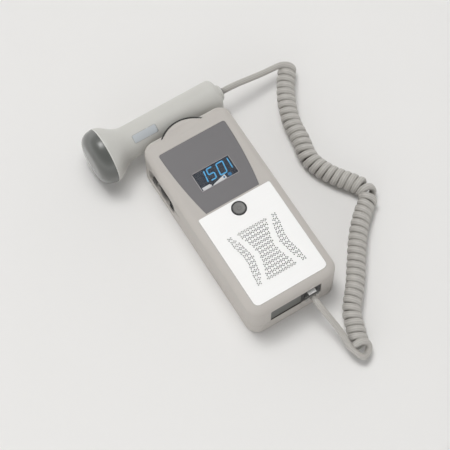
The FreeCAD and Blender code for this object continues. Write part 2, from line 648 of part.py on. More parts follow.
def power_jack():
    """A square-shouldered socket whose bore holds a centre pin."""
    x0, z = POWER_MOUTH_X, CONTROL_Z
    w, h = POWER_JACK_W / 2, POWER_JACK_H / 2
    body = box(x0, x0 + 14.6, POWER_JACK_Y - w, POWER_JACK_Y + w, z - h, z + h)
    body = body.makeFillet(0.5, [e for e in body.Edges if e.BoundBox.XMax < x0 + 1e-3])
    body = body.cut(rod_x(x0 - 1, x0 + 11.6, POWER_JACK_Y, z, POWER_BORE_R))
    pin = rod_x(x0 + 1.2, x0 + 12.0, POWER_JACK_Y, z, POWER_PIN_R)
    return body.fuse(pin)


# ---------------------------------------------------------------- socket end
def end_panel():
    """The dark blank that fills the end recess beside the socket."""
    (x0, _), (z0, z1) = END_RECESS_X, END_RECESS_Z
    x1 = SOCKET_X - SOCKET_W / 2 - 0.2
    y = -CASE_L / 2
    return wall_slab(x0 + 0.25, x1, y + 0.6, y + END_RECESS_DEPTH, z0 + 0.25, z1 - 0.25, 1.0)


def probe_socket():
    """A modular socket: a body with a stepped mouth, wide for the plug and narrow for its latch."""
    half = SOCKET_W / 2
    y0 = -CASE_L / 2 + 0.5
    body = box(SOCKET_X - half, SOCKET_X + half, y0, SOCKET_BACK_Y, SOCKET_Z[0], SOCKET_Z[1])
    mouth = PLUG_W / 2 + 0.15
    back = PLUG_Y[1] + 0.6
    z0, z1 = PLUG_Z
    body = body.cut(box(SOCKET_X - mouth, SOCKET_X + mouth, y0 - 1, back, z0 - 0.2, z1 + 0.6))
    latch = LATCH_W / 2 + 0.4
    body = body.cut(box(SOCKET_X - latch, SOCKET_X + latch, y0 - 1, back, z1, SOCKET_Z[1] - 0.6))
    legs = [box(x - 0.8, x + 0.8, y0 + WALL, SOCKET_BACK_Y, BOARD_Z[1], SOCKET_Z[0])
            for x in (SOCKET_X - half + 0.8, SOCKET_X + half - 0.8)]
    return fuse_all([body] + legs)


def plug_body():
    """The clear plug: a block with a nose chamfer, slots for the contacts and a wire well."""
    (y0, y1), (z0, z1) = PLUG_Y, PLUG_Z
    half = PLUG_W / 2
    outline = [V(SOCKET_X - half, y0, z0), V(SOCKET_X - half, y1, z0), V(SOCKET_X - half, y1, z1 - 1.2),
               V(SOCKET_X - half, y1 - 1.2, z1), V(SOCKET_X - half, y0 + 2.5, z1),
               V(SOCKET_X - half, y0, z1 - 0.8)]
    body = polygon(outline, X * PLUG_W)
    for i in range(8):
        x = SOCKET_X + (i - 3.5) * 1.02
        body = body.cut(box(x - 0.2, x + 0.2, y1 - 3.6, y1 + 1, z0 - 1, z0 + 3.0))
    return body


def plug_contacts():
    (_, y1), (z0, _) = PLUG_Y, PLUG_Z
    return [box(x - 0.15, x + 0.15, y1 - 3.5, y1 - 0.3, z0 + 0.2, z0 + 2.9)
            for x in [SOCKET_X + (i - 3.5) * 1.02 for i in range(8)]]


def plug_latch():
    """The springy finger on top of the plug, joined at the nose and free at the cord end."""
    (y0, y1), (_, z1) = PLUG_Y, PLUG_Z
    x0 = SOCKET_X - LATCH_W / 2
    outline = [(y1 - 1.4, z1), (y1 - 4.0, z1), (y0 + 2.0, z1 + 2.0), (y0 + 0.3, z1 + 2.1),
               (y0 + 0.3, z1 + 3.0), (y0 + 3.0, z1 + 3.0), (y1 - 8.0, z1 + 2.3), (y1 - 8.0, z1 + 3.4),
               (y1 - 5.0, z1 + 3.4), (y1 - 1.4, z1 + 0.9)]
    return polygon([V(x0, y, z) for y, z in outline], X * LATCH_W)


# ---------------------------------------------------------------- cradle
def sector(r_in, r_out, a0, a1, x0, x1):
    """Part of a ring about the probe's axis, between two angles from +Y towards +Z."""
    def point(r, a):
        return V(x0, PROBE_Y + r * cos(radians(a)), PROBE_Z + r * sin(radians(a)))
    mid = (a0 + a1) / 2
    edges = [Part.Arc(point(r_out, a0), point(r_out, mid), point(r_out, a1)).toShape(),
             Part.LineSegment(point(r_out, a1), point(r_in, a1)).toShape(),
             Part.Arc(point(r_in, a1), point(r_in, mid), point(r_in, a0)).toShape(),
             Part.LineSegment(point(r_in, a0), point(r_out, a0)).toShape()]
    return Part.Face(Part.Wire(edges)).extrude(X * (x1 - x0))


def probe_way(r, x0, x1):
    """The room that the handle takes on its way out: a cylinder and its run along the lift."""
    along = V(0, sin(LIFT_ANGLE), cos(LIFT_ANGLE))
    across = V(0, cos(LIFT_ANGLE), -sin(LIFT_ANGLE)) * r
    start, end = V(x0, PROBE_Y, PROBE_Z), V(x1, PROBE_Y, PROBE_Z)
    corners = [start.sub(across), start.add(across), end.add(across), end.sub(across)]
    return rod_x(x0, x1, PROBE_Y, PROBE_Z, r).fuse(polygon(corners, along * 60.0))


def cradle_screw_places():
    return [LIP_DISC_X + dx for dx in (-CRADLE_SCREW_DX, CRADLE_SCREW_DX)]


def probe_cradle():
    """A trough under the handle, a web against the case and a saddle under the case's round lip."""
    x0, x1 = CRADLE_X - CRADLE_HALF, CRADLE_X + CRADLE_HALF
    r_in = HANDLE_R + CRADLE_GAP
    trough = sector(r_in, r_in + CRADLE_T, CRADLE_ANGLES[0], CRADLE_ANGLES[1], x0, x1)
    y = CASE_L / 2
    web = box(x0, x1, y + 0.05, y + WEB_T, 9.0, SADDLE_Z + 0.5)
    saddle = lip_disc(SADDLE_Z, CASE_H - LIP_T - 0.05, LIP_DISC_R, y + 0.05)
    clear = probe_way(r_in, x0 - 20, x1 + 20)
    outside = box(x0 - 5, x1 + 5, y + 0.05, y + 60, 0, 60)
    cradle = fuse_all([trough.common(outside), web.cut(clear), saddle.cut(clear)])
    return cut_each(cradle, [rod_y(y - 4, y + 2.0, x, CRADLE_SCREW_Z, 0.9) for x in cradle_screw_places()])


def strip_band(z0, z1):
    """The ring round the lip's disc, beyond its chord."""
    band = lip_disc(z0, z1, LIP_DISC_R + STRIP_T, LIP_CHORD_Y)
    return band.cut(disc(LIP_DISC_X, LIP_DISC_Y, z0, z1, LIP_DISC_R))


def cradle_strip():
    """The soft dark strip round the lip and the saddle, which the handle can't scratch itself on."""
    case_there = case_block().cut(strip_band(STRIP_GROOVE_Z, 45))
    return strip_band(*STRIP_Z).cut(case_there).cut(probe_way(HANDLE_R + STRIP_GAP, -60, 60))


def cradle_screws():
    screws = []
    for x in cradle_screw_places():
        one = screw(0, 0, 0, 2.2, 1.3, 0.85, 4.2)
        one.rotate(V(0, 0, 0), X, -90)
        one.translate(V(x, CASE_L / 2 - WALL - 1.3, CRADLE_SCREW_Z))
        screws.append(one)
    return screws


# ---------------------------------------------------------------- probe
def probe_shell(angle):
    """Half of the probe's housing: the neck flares to the head, the tail closes round the cord."""
    wall = PROBE_WALL
    rim = HEAD_R - wall - 0.4
    round_tail, boss = TAIL[:5], TAIL[4:]
    outer = line((RIM_X, HEAD_R - 0.3), NECK[0]) + curve(NECK) + line(NECK[-1], TAIL[0])
    outer += curve(round_tail) + line(*boss)
    inner_neck = [(NECK[0][0], rim)] + [(x - 1.2, r - wall) for x, r in NECK[1:]]
    inner = line(boss[-1], (39.1, 3.4), (39.1, 2.6), (37.7, 2.6), (37.7, 7.5), (35.5, HANDLE_R - wall),
                 inner_neck[-1])
    inner += curve(inner_neck) + line(inner_neck[0], (RIM_X, rim), (RIM_X, HEAD_R - 0.3))
    return turned(outer + inner, angle).cut(shell_line())


def shell_line():
    """A thin wedge along both sides of the handle, which leaves the line between its halves."""
    depth = SHELL_LINE_R
    sides = []
    for side in (-1, 1):
        y = PROBE_Y + side * (HANDLE_R - depth)
        corners = [V(-36, y, PROBE_Z), V(-36, y + side, PROBE_Z - depth), V(-36, y + side, PROBE_Z + depth)]
        sides.append(polygon(corners, X * 70.0))
    return Part.makeCompound(sides)


def probe_face_cap():
    """The domed face that is held to the skin, with a spigot inside the head's rim."""
    rim = HEAD_R - PROBE_WALL - 0.5
    spigot_x = RIM_X + 2.2
    inner = [(x + 2.2, r - 2.2) for x, r in reversed(CAP_CURVE[1:])]
    outer = curve(CAP_CURVE) + curve([CAP_CURVE[-1], (-71.7, 6.0), (FACE_X, 0.0)])
    inside = line((FACE_X, 0.0), (FACE_X + 2.2, 0.0), *inner[:-1], (RIM_X, rim - 1.6),
                  (spigot_x, rim - 1.6), (spigot_x, rim), (RIM_X, rim), (RIM_X, HEAD_R))
    return turned(outer + inside)


def transducer_crystals():
    """Two half-round crystals, one that sends and one that listens."""
    x = FACE_X + 3.0
    whole = rod_x(x, x + 1.5, PROBE_Y, PROBE_Z, 9.0)
    return [whole.common(box(-100, 0, y - 5.0, y + 5.0, 0, 60)) for y in (PROBE_Y - 5.5, PROBE_Y + 5.5)]


def transducer_backing():
    x = FACE_X + 4.7
    return rod_x(x, x + 5.5, PROBE_Y, PROBE_Z, 14.5)


def probe_board():
    return box(-52.0, 30.0, PROBE_Y - 8.0, PROBE_Y + 8.0, PROBE_Z - 0.8, PROBE_Z + 0.8)


def cord_grommet():
    """The dark collar in the tail that grips the cord."""
    return turned(line((35.5, 0.0), (35.5, 5.0), (37.5, 5.0), (37.5, 2.5), (39.2, 2.5), (39.2, 3.3),
                       (LEAD_A[0][0], 3.3), (LEAD_A[0][0], 0.0), (35.5, 0.0)))


# ---------------------------------------------------------------- cord
def route_radii(points):
    """The bend radius at each inner point: as large as its two runs allow."""
    radii = []
    for a, b, c in zip(points, points[1:], points[2:]):
        before, after = b.sub(a), c.sub(b)
        turn = before.getAngle(after)
        radii.append(0.45 * min(before.Length, after.Length) / tan(turn / 2))
    return radii


def tube(name, route, diameter):
    """A round tube along straight runs joined by tangent arcs."""
    points = [V(*p) for p in route]
    radii = route_radii(points)
    edges, start, length = [], points[0], 0.0
    for (a, b, c), radius in zip(zip(points, points[1:], points[2:]), radii):
        before, after = b.sub(a).normalize(), c.sub(b).normalize()
        turn = before.getAngle(after)
        reach = radius * tan(turn / 2)
        first, last = b.sub(before * reach), b.add(after * reach)
        inward = after.sub(before).normalize()
        middle = b.add(inward * (radius / cos(turn / 2) - radius))
        edges += [Part.LineSegment(start, first).toShape(), Part.Arc(first, middle, last).toShape()]
        length += start.distanceToPoint(first) + radius * turn
        start = last
    edges.append(Part.LineSegment(start, points[-1]).toShape())
    length += start.distanceToPoint(points[-1])
    wire = Part.Wire(edges)
    first_run = points[1].sub(points[0])
    circle = Part.Wire([Part.Circle(points[0], first_run, diameter / 2).toShape()])
    solid = wire.makePipeShell([circle], True, False)
    ideal = pi * diameter ** 2 / 4 * length
    print(f"{name}: length {length:.1f}, volume {solid.Volume / ideal:.4f} of section times length, "
          f"radii {', '.join(f'{r:.1f}' for r in radii)}")
    return solid


def level(points, z):
    return [(x, y, z) for x, y in points]


def build():
    os.makedirs("parts", exist_ok=True)
    write("front_shell", front_shell())
    write("rear_shell", rear_shell())
    write("battery_cover", battery_cover())
    write("battery", battery())
    write("battery_snap", battery_snap())
    write("speaker_plate", speaker_plate())
    write("display_panel", display_panel())
    write("window_frame", window_frame())
    write("display_lens", display_lens())
    write("display_glass", display_glass())
    write("display_carrier", display_carrier())
    write("button_bezel", button_bezel())
    write("power_button", power_button())
    write("tact_switch", tact_switch())
    write("switch_plunger", switch_plunger())
    write("speaker_basket", speaker_basket())
    write("speaker_cone", speaker_cone())
    write("speaker_magnet", speaker_magnet())
    write("main_board", main_board())
    write("display_board", display_board())
    write("board_link", board_link())
    write("shell_screws", *shell_screws())
    write("board_screws", *board_screws())
    write("volume_wheel", volume_wheel())
    write("volume_axle", volume_axle())
    write("volume_control", volume_control())
    write("headphone_jack", headphone_jack())
    write("power_jack", power_jack())
    write("side_panel", side_panel())
    write("end_panel", end_panel())
    write("probe_socket", probe_socket())
    write("plug_body", plug_body())
    write("plug_contacts", *plug_contacts())
    write("plug_latch", plug_latch())
    write("probe_cradle", probe_cradle())
    write("cradle_strip", cradle_strip())
    write("cradle_screws", *cradle_screws())
    write("probe_shell_upper", probe_shell(180.0))
    write("probe_shell_lower", probe_shell(-180.0))
    write("probe_face_cap", probe_face_cap())
    write("transducer_crystals", *transducer_crystals())
    write("transducer_backing", transducer_backing())
    write("probe_board", probe_board())
    write("cord_grommet", cord_grommet())
    write("cord_lead_probe", tube("probe lead", LEAD_A, WIRE_D))
    write("cord_coil", tube("coil", level(COIL, COIL_Z), COIL_D))
    write("cord_lead_case", tube("case lead", LEAD_B, WIRE_D))


build()
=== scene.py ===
# %% [markdown]
# # Dressing a hand-held fetal doppler
# The unit is a flat moulded case with a display and a speaker behind a perforated plate. Its probe
# rests in a cradle on one end of the case, and a curly cord joins the two. The engineering model
# is loaded first as a fixed frame. The plate, the display's figures, the button's sign and the
# dark strip under the end panel are placed by asking that frame where things are.

# %% Load the frame
import json
from math import cos, pi, radians, sin, sqrt

import bmesh
import bpy
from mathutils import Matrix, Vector
from mathutils.kdtree import KDTree

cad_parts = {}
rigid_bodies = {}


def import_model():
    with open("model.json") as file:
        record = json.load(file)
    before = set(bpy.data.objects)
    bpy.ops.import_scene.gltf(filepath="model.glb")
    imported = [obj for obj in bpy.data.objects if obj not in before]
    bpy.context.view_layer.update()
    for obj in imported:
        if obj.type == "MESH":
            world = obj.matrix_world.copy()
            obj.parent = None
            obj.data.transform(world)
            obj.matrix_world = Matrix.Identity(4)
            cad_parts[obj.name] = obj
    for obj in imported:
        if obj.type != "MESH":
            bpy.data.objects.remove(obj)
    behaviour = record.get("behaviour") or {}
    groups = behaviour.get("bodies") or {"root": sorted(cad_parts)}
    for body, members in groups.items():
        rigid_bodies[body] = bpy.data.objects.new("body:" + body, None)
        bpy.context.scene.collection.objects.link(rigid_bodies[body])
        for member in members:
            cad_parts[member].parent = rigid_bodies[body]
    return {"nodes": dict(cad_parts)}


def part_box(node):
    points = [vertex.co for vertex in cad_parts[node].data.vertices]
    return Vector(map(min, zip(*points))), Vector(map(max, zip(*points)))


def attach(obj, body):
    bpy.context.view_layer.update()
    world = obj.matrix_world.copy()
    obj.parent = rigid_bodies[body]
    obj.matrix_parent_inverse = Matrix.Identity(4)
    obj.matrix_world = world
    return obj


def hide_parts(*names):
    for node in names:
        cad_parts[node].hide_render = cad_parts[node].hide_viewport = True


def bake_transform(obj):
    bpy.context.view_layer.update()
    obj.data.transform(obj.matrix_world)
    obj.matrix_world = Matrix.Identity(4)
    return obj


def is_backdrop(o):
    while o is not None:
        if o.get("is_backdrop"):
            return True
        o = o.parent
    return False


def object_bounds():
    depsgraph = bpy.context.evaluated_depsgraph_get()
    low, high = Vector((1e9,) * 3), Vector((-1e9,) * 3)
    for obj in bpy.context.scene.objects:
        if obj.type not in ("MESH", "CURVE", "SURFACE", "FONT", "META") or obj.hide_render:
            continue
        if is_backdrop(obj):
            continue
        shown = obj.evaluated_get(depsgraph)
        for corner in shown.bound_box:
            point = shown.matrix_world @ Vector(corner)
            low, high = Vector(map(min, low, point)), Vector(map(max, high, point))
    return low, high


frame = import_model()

MM = 0.001
nodes = frame["nodes"]
model_low, model_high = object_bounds()
print("model box, metres:", [round(v, 4) for v in (*model_low, *model_high)])

# %% [markdown]
# ## The camera
# A product shot from above and a little to the left. A long lens, well away from the unit, keeps
# the perspective mild. The lens is worked out from the field of view that the shot needs.

# %% Camera
CAMERA_PLACE = Vector((-0.2707, -0.4199, 1.1474))
CAMERA_AIM = Vector((-0.0071, 0.0074, 0.0))
LENS_MM, SENSOR_MM = 132.9, 36.0

lens = bpy.data.cameras.new("shot")
lens.lens = LENS_MM
lens.sensor_width = SENSOR_MM
camera = bpy.data.objects.new("shot", lens)
camera.location = CAMERA_PLACE
camera.rotation_euler = (CAMERA_AIM - CAMERA_PLACE).to_track_quat("-Z", "Y").to_euler()
bpy.context.scene.collection.objects.link(camera)
bpy.context.scene.camera = camera
print("camera is", round((CAMERA_AIM - CAMERA_PLACE).length, 3), "m from its aim")

# %% [markdown]
# ## Building materials
# Each finish is a small tree of nodes that ends in one Principled shader. The helpers below add a
# node, feed it and return its output, so that a finish reads as a short list of steps. Patterns
# read Object coordinates: every mesh keeps its place in its own vertices, so a pattern stays
# fixed to the surface, in metres.

# %% Material helpers
class Finish:
    """A material whose nodes are added one line at a time."""

    def __init__(self, name, colour, roughness, **sockets):
        self.material = bpy.data.materials.new(name)
        self.material.use_nodes = True
        self.tree = self.material.node_tree
        self.shader = self.tree.nodes["Principled BSDF"]
        self.shader.inputs["Base Color"].default_value = (*colour, 1.0)
        self.shader.inputs["Roughness"].default_value = roughness
        for socket, value in sockets.items():
            self.shader.inputs[socket.replace("_", " ")].default_value = value

    def add(self, kind, settings=None, **inputs):
        node = self.tree.nodes.new(kind)
        for name, value in (settings or {}).items():
            setattr(node, name, value)
        for name, value in inputs.items():
            self.feed(node, name.replace("_", " "), value)
        return node

    def feed(self, node, socket, value):
        if isinstance(value, bpy.types.NodeSocket):
            self.tree.links.new(value, node.inputs[socket])
        else:
            node.inputs[socket].default_value = value

    def place(self, stretch=(1.0, 1.0, 1.0)):
        """Object coordinates in metres, multiplied by stretch."""
        coordinates = self.add("ShaderNodeTexCoord")
        mapping = self.add("ShaderNodeMapping", Vector=coordinates.outputs["Object"])
        mapping.inputs["Scale"].default_value = stretch
        return mapping.outputs["Vector"]

    def noise(self, size_mm, detail=2.0, where=None):
        """Noise whose blotches are about size_mm across, from 0 to 1."""
        texture = self.add("ShaderNodeTexNoise", Vector=where or self.place(), Detail=detail)
        texture.inputs["Scale"].default_value = 1.0 / (size_mm * MM)
        return texture.outputs["Fac"]

    def between(self, value, low, high):
        """Moves a 0 to 1 value to the range from low to high."""
        node = self.add("ShaderNodeMapRange", Value=value)
        node.inputs["To Min"].default_value = low
        node.inputs["To Max"].default_value = high
        return node.outputs["Result"]

    def math(self, operation, *values):
        """One sum, with its values in order."""
        node = self.add("ShaderNodeMath", {"operation": operation})
        for index, value in enumerate(values):
            self.feed(node, index, value)
        return node.outputs[0]

    def tint(self, value, colour_a, colour_b):
        """Mixes two colours by a 0 to 1 value into the base colour."""
        mix = self.add("ShaderNodeMix", {"data_type": "RGBA"})
        self.feed(mix, 0, value)
        for socket, colour in ((6, colour_a), (7, colour_b)):     # A and B, as colours
            self.feed(mix, socket, (*colour, 1.0))
        self.feed(self.shader, "Base Color", mix.outputs[2])

    def rough(self, value, low, high):
        self.feed(self.shader, "Roughness", self.between(value, low, high))

    def bump(self, height, depth_mm, strength=1.0):
        node = self.add("ShaderNodeBump", Height=height)
        node.inputs["Strength"].default_value = strength
        node.inputs["Distance"].default_value = depth_mm * MM
        self.feed(self.shader, "Normal", node.outputs["Normal"])


def shade(colour, factor):
    return tuple(min(1.0, channel * factor) for channel in colour)


def moulded(name, colour, roughness, grain_mm=0.25, grain_depth_mm=0.015, **sockets):
    """Moulded plastic: a fine spark-eroded grain, faint flow mottling and uneven gloss."""
    finish = Finish(name, colour, roughness, **sockets)
    flow = finish.noise(18.0, 4.0)
    finish.tint(flow, shade(colour, 0.965), shade(colour, 1.035))
    grain = finish.noise(grain_mm, 3.0)
    finish.rough(finish.noise(2.5, 3.0), roughness - 0.05, roughness + 0.06)
    finish.bump(grain, grain_depth_mm)
    return finish.material


def dress(material, *names):
    """Gives nodes of the frame a finer material."""
    for name in names:
        for place in nodes[name].material_slots:
            place.material = material


# %% [markdown]
# ## The mouldings
# The case is a warm light grey with a fine grain. The probe is the same kind of plastic, a little
# cooler and smoother, since it is held and wiped. Its face is a darker, glossier grey. Soft
# plastics like these are mostly diffuse, so most of their look is in the colour and in how
# broad the sheen is.

# %% Pale mouldings
CASE_GREY = (0.480, 0.454, 0.426)
PROBE_GREY = (0.531, 0.526, 0.498)
CAP_GREY = (0.084, 0.089, 0.082)

case_plastic = moulded("case_plastic", CASE_GREY, 0.52)
probe_plastic = moulded("probe_plastic", PROBE_GREY, 0.42, grain_depth_mm=0.008)
cap_plastic = moulded("cap_plastic", CAP_GREY, 0.44, grain_depth_mm=0.0, IOR=1.6, Coat_Weight=1.0,
                      Coat_Roughness=0.15, Coat_IOR=1.45)
dress(case_plastic, "front_shell", "rear_shell", "battery_cover", "probe_cradle")
dress(probe_plastic, "probe_shell_upper", "probe_shell_lower")
dress(cap_plastic, "probe_face_cap")
print("pale mouldings: case, probe and probe face")

# %% [markdown]
# The panel round the display, the button, the blank panel in the end wall, the panel in the side
# hollow and the controls beside it are darker greys from the same family. Everything that only
# shows as a dark mouth or a shadow line is black plastic, and at the cord's grommet that black
# is painted shadow. The strip between the lip and the probe is black rubber, rougher than the
# plastics.

# %% Dark mouldings
PANEL_GREY = (0.144, 0.139, 0.144)
BUTTON_GREY = (0.182, 0.180, 0.175)
END_PANEL_GREY = (0.115, 0.118, 0.110)
SIDE_PANEL_GREY = (0.260, 0.252, 0.240)
CONTROL_GREY = (0.105, 0.102, 0.097)
BLACK = (0.012, 0.012, 0.013)
RUBBER_BLACK = (0.040, 0.040, 0.038)

panel_plastic = moulded("panel_plastic", PANEL_GREY, 0.42, grain_mm=0.18, grain_depth_mm=0.01)
button_plastic = moulded("button_plastic", BUTTON_GREY, 0.45)
end_panel_plastic = moulded("end_panel_plastic", END_PANEL_GREY, 0.5)
black_plastic = moulded("black_plastic", BLACK, 0.4)
strip_rubber = moulded("strip_rubber", RUBBER_BLACK, 0.75, grain_mm=0.4, grain_depth_mm=0.02)
side_panel_plastic = moulded("side_panel_plastic", SIDE_PANEL_GREY, 0.5)
control_plastic = moulded("control_plastic", CONTROL_GREY, 0.5)

dress(panel_plastic, "display_panel")
dress(button_plastic, "power_button")
dress(end_panel_plastic, "end_panel")
dress(side_panel_plastic, "side_panel")
dress(control_plastic, "headphone_jack", "volume_control", "volume_wheel")
dress(strip_rubber, "cradle_strip")
# Black plastic parts; the cord grommet's black is painted shadow where the cord leaves the probe.
dress(black_plastic, "button_bezel", "tact_switch", "switch_plunger", "probe_socket", "power_jack",
      "speaker_basket", "board_link", "battery_snap", "display_carrier", "cord_grommet")
print("dark mouldings: panel, button, end and side panels, controls, black parts, rubber strip")

# %% [markdown]
# ## Clear and bright pieces
# The window is a flat piece of clear plastic over a dark display. The plug is clear too, so that
# its contacts show. The window lens is so thin that it bends no light to speak of, so alpha makes
# it clear without the grain that real refraction brings over a dark display.

# %% Clear plastics and the display
NAVY = (0.020, 0.027, 0.043)
clear_plastic = Finish("clear_plastic", (0.45, 0.45, 0.44), 0.08, Alpha=0.18)
clear_plastic.bump(clear_plastic.noise(6.0), 0.02, 0.4)
# The latch is near white and nearly opaque: a painted highlight for the light its clear plastic
# catches.
latch_painted_highlight = Finish("latch_painted_highlight", (0.90, 0.90, 0.89), 0.12, Alpha=0.9)
latch_painted_highlight.bump(latch_painted_highlight.noise(3.0), 0.02, 0.4)
lens_plastic = Finish("lens_plastic", NAVY, 0.08, Alpha=0.18)
lens_plastic.bump(lens_plastic.noise(12.0), 0.01, 0.2)
frame_plastic = moulded("frame_plastic", (0.36, 0.34, 0.345), 0.3, grain_depth_mm=0.003)
display_dark = Finish("display_dark", NAVY, 0.2)
display_dark.tint(display_dark.noise(9.0), shade(NAVY, 0.8), shade(NAVY, 1.35))

dress(clear_plastic.material, "plug_body")
dress(latch_painted_highlight.material, "plug_latch")
dress(lens_plastic.material, "display_lens")
dress(frame_plastic, "window_frame")
dress(display_dark.material, "display_glass")
print("clear pieces: plug, latch and window lens")

# %% [markdown]
# ## Metals and hidden parts
# The screws are zinc plated, the contacts gold. Inside sit two boards, a small speaker, a block
# battery and the probe's crystals. They hardly show, but a finish of their own keeps them apart
# when the unit is opened.

# %% Metals, boards and the inside
steel = Finish("zinc_steel", (0.56, 0.57, 0.58), 0.3, Metallic=1.0)
steel.rough(steel.noise(0.8, 4.0), 0.22, 0.42)
gold = Finish("gold_plate", (0.83, 0.60, 0.22), 0.25, Metallic=1.0)
gold.rough(gold.noise(0.6), 0.2, 0.32)
magnet = Finish("magnet_ferrite", (0.09, 0.09, 0.10), 0.5)
magnet.bump(magnet.noise(0.5), 0.03)
paper = Finish("speaker_paper", (0.03, 0.03, 0.03), 0.85)
paper.bump(paper.noise(0.4, 5.0), 0.08)
ceramic = Finish("ceramic", (0.62, 0.57, 0.44), 0.6)
ceramic.tint(ceramic.noise(1.2), (0.58, 0.53, 0.40), (0.66, 0.61, 0.48))
resin = Finish("resin", (0.04, 0.04, 0.045), 0.45)
resin.bump(resin.noise(1.5), 0.05)
battery_wrap = Finish("battery_wrap", (0.22, 0.23, 0.25), 0.35, Metallic=0.6)
battery_wrap.tint(battery_wrap.noise(14.0), (0.20, 0.21, 0.23), (0.25, 0.26, 0.28))

board = Finish("circuit_board", (0.01, 0.10, 0.035), 0.35)
tracks = board.add("ShaderNodeTexVoronoi", {"feature": "DISTANCE_TO_EDGE"},
                   Vector=board.place((1.0, 1.0, 0.2)))
tracks.inputs["Scale"].default_value = 1.0 / (2.2 * MM)
board.tint(board.between(tracks.outputs["Distance"], 0.0, 3.0),
           (0.012, 0.13, 0.05), (0.008, 0.07, 0.028))

dress(steel.material, "shell_screws", "board_screws", "cradle_screws", "volume_axle")
dress(gold.material, "plug_contacts")
dress(magnet.material, "speaker_magnet")
dress(paper.material, "speaker_cone")
dress(ceramic.material, "transducer_crystals")
dress(resin.material, "transducer_backing")
dress(battery_wrap.material, "battery")
dress(board.material, "main_board", "display_board", "probe_board")
print("every node has a finish of its own:",
      all(n.active_material.use_nodes for n in nodes.values()))

# %% [markdown]
# ## The curly cord
# One wire runs from the probe's tail, over the first turn of the coil, round and round, and then
# back past the coil's end and up into the plug. A curly cord is wound on a rod and baked, so its
# turns stay: where the coil lies bent, they close up inside the bend and fan out round it.
#
# A smooth NURBS line through the middle of the coil comes first. Blender turns it into points,
# and the wire's own control points then go round those points. The two straight leads
# are a few points each, and all of them make one spline, so that the joins are as smooth as the
# rest.

# %% The cord's measures and routes
WIRE_D = 0.0048
FLAT_WIDTH, FLAT_HEIGHT = 0.0056, 0.0043    # the wire in the coil, along it and across it
COIL_RADIUS = 0.0051
TURN_PITCH = 0.0057
COIL_Z = 0.0073
LEAD_A = [(0.0443, 0.0954, 0.0223), (0.0525, 0.0954, 0.0223), (0.0635, 0.0953, 0.0203),
          (0.0770, 0.0951, 0.0171), (0.0890, 0.0953, 0.0149), (0.0978, 0.0957, 0.0134)]
COIL = [(0.1026, 0.0928), (0.0927, 0.0802), (0.0849, 0.0653), (0.0793, 0.0496), (0.0784, 0.0348),
        (0.0743, 0.0200), (0.0775, 0.0059), (0.0857, -0.0082), (0.0924, -0.0167),
        (0.0980, -0.0267), (0.0945, -0.0344), (0.0836, -0.0419), (0.0721, -0.0535),
        (0.0592, -0.0708), (0.0465, -0.0885), (0.0332, -0.1025), (0.0286, -0.1165)]
COIL_END = [(0.0240, -0.1292, 0.0071), (0.0251, -0.1332, 0.0108)]     # the last turns tip up
LEAD_B = [(0.0212, -0.1370, 0.0084), (0.0188, -0.1325, 0.0094), (0.0174, -0.1275, 0.0100),
          (0.0170, -0.1234, 0.0107), (0.0174, -0.1146, 0.0127), (0.0158, -0.1047, 0.0155),
          (0.0140, -0.0963, 0.0194), (0.01245, -0.0895, 0.0216), (0.01245, -0.0823, 0.0216)]


def nurbs(name, points, resolution):
    """A smooth open line with the points as its control points."""
    data = bpy.data.curves.new(name, "CURVE")
    data.dimensions = "3D"
    data.resolution_u = resolution
    spline = data.splines.new("NURBS")
    spline.points.add(len(points) - 1)
    for point, place in zip(spline.points, points):
        point.co = (*place, 1.0)
    spline.order_u = 3
    spline.use_endpoint_u = True
    made = bpy.data.objects.new(name, data)
    bpy.context.scene.collection.objects.link(made)
    return made


def line_points(curve):
    """The points along a line that has no thickness, as Blender evaluates it."""
    bpy.context.view_layer.update()
    evaluated = curve.evaluated_get(bpy.context.evaluated_depsgraph_get())
    mesh = bpy.data.meshes.new_from_object(evaluated)
    points = [v.co.copy() for v in mesh.vertices]
    bpy.data.meshes.remove(mesh)
    return points


def discard(thing):
    bpy.data.objects.remove(thing, do_unlink=True)


core = nurbs("coil_core", [(x, y, COIL_Z) for x, y in COIL] + COIL_END, 24)
core_points = line_points(core)
discard(core)
core_length = sum((b - a).length for a, b in zip(core_points, core_points[1:]))
print("coil's middle line:", round(core_length * 1000, 1), "mm in", len(core_points), "points")

# %% [markdown]
# The helix is a walk along that middle line. At each step the wire turns by an angle that depends
# on the pitch, and the pitch grows where the line bends, so that the turns crowd less on the
# inside. In the sharpest bends they still press into each other.

# %% Wind the helix
STEPS_PER_TURN = 14
SPREAD = 1.0 / cos(pi / STEPS_PER_TURN)     # a quadratic spline cuts inside its control points
UP = Vector((0.0, 0.0, 1.0))
FINE_STEP = 0.0001
WINDOW = 30                                  # steps on each side over which a bend is measured
TURN_GAP = 0.0002                            # left between turns on the inside of a bend
LEAST_ROOM = 0.62                            # a sharper bend widens the pitch no further
LONG_RIPPLE, LONG_WAVE = 0.025, 0.031        # how the pitch wanders, and over what length
SHORT_RIPPLE, SHORT_WAVE = 0.015, 0.0113
PART_TURN = 0.58                             # it starts over the top and leaves from underneath
WOBBLE, WOBBLE_RATE = 0.006, 1.7             # of the radius, and its radians in each turn


def walk(points, step):
    """Points spaced evenly along a line, each with its direction."""
    out, reach, travelled = [], 0.0, 0.0
    for a, b in zip(points, points[1:]):
        run = (b - a).length
        while reach <= travelled + run:
            out.append((a + (b - a) * ((reach - travelled) / run), (b - a).normalized()))
            reach += step
        travelled += run
    return out


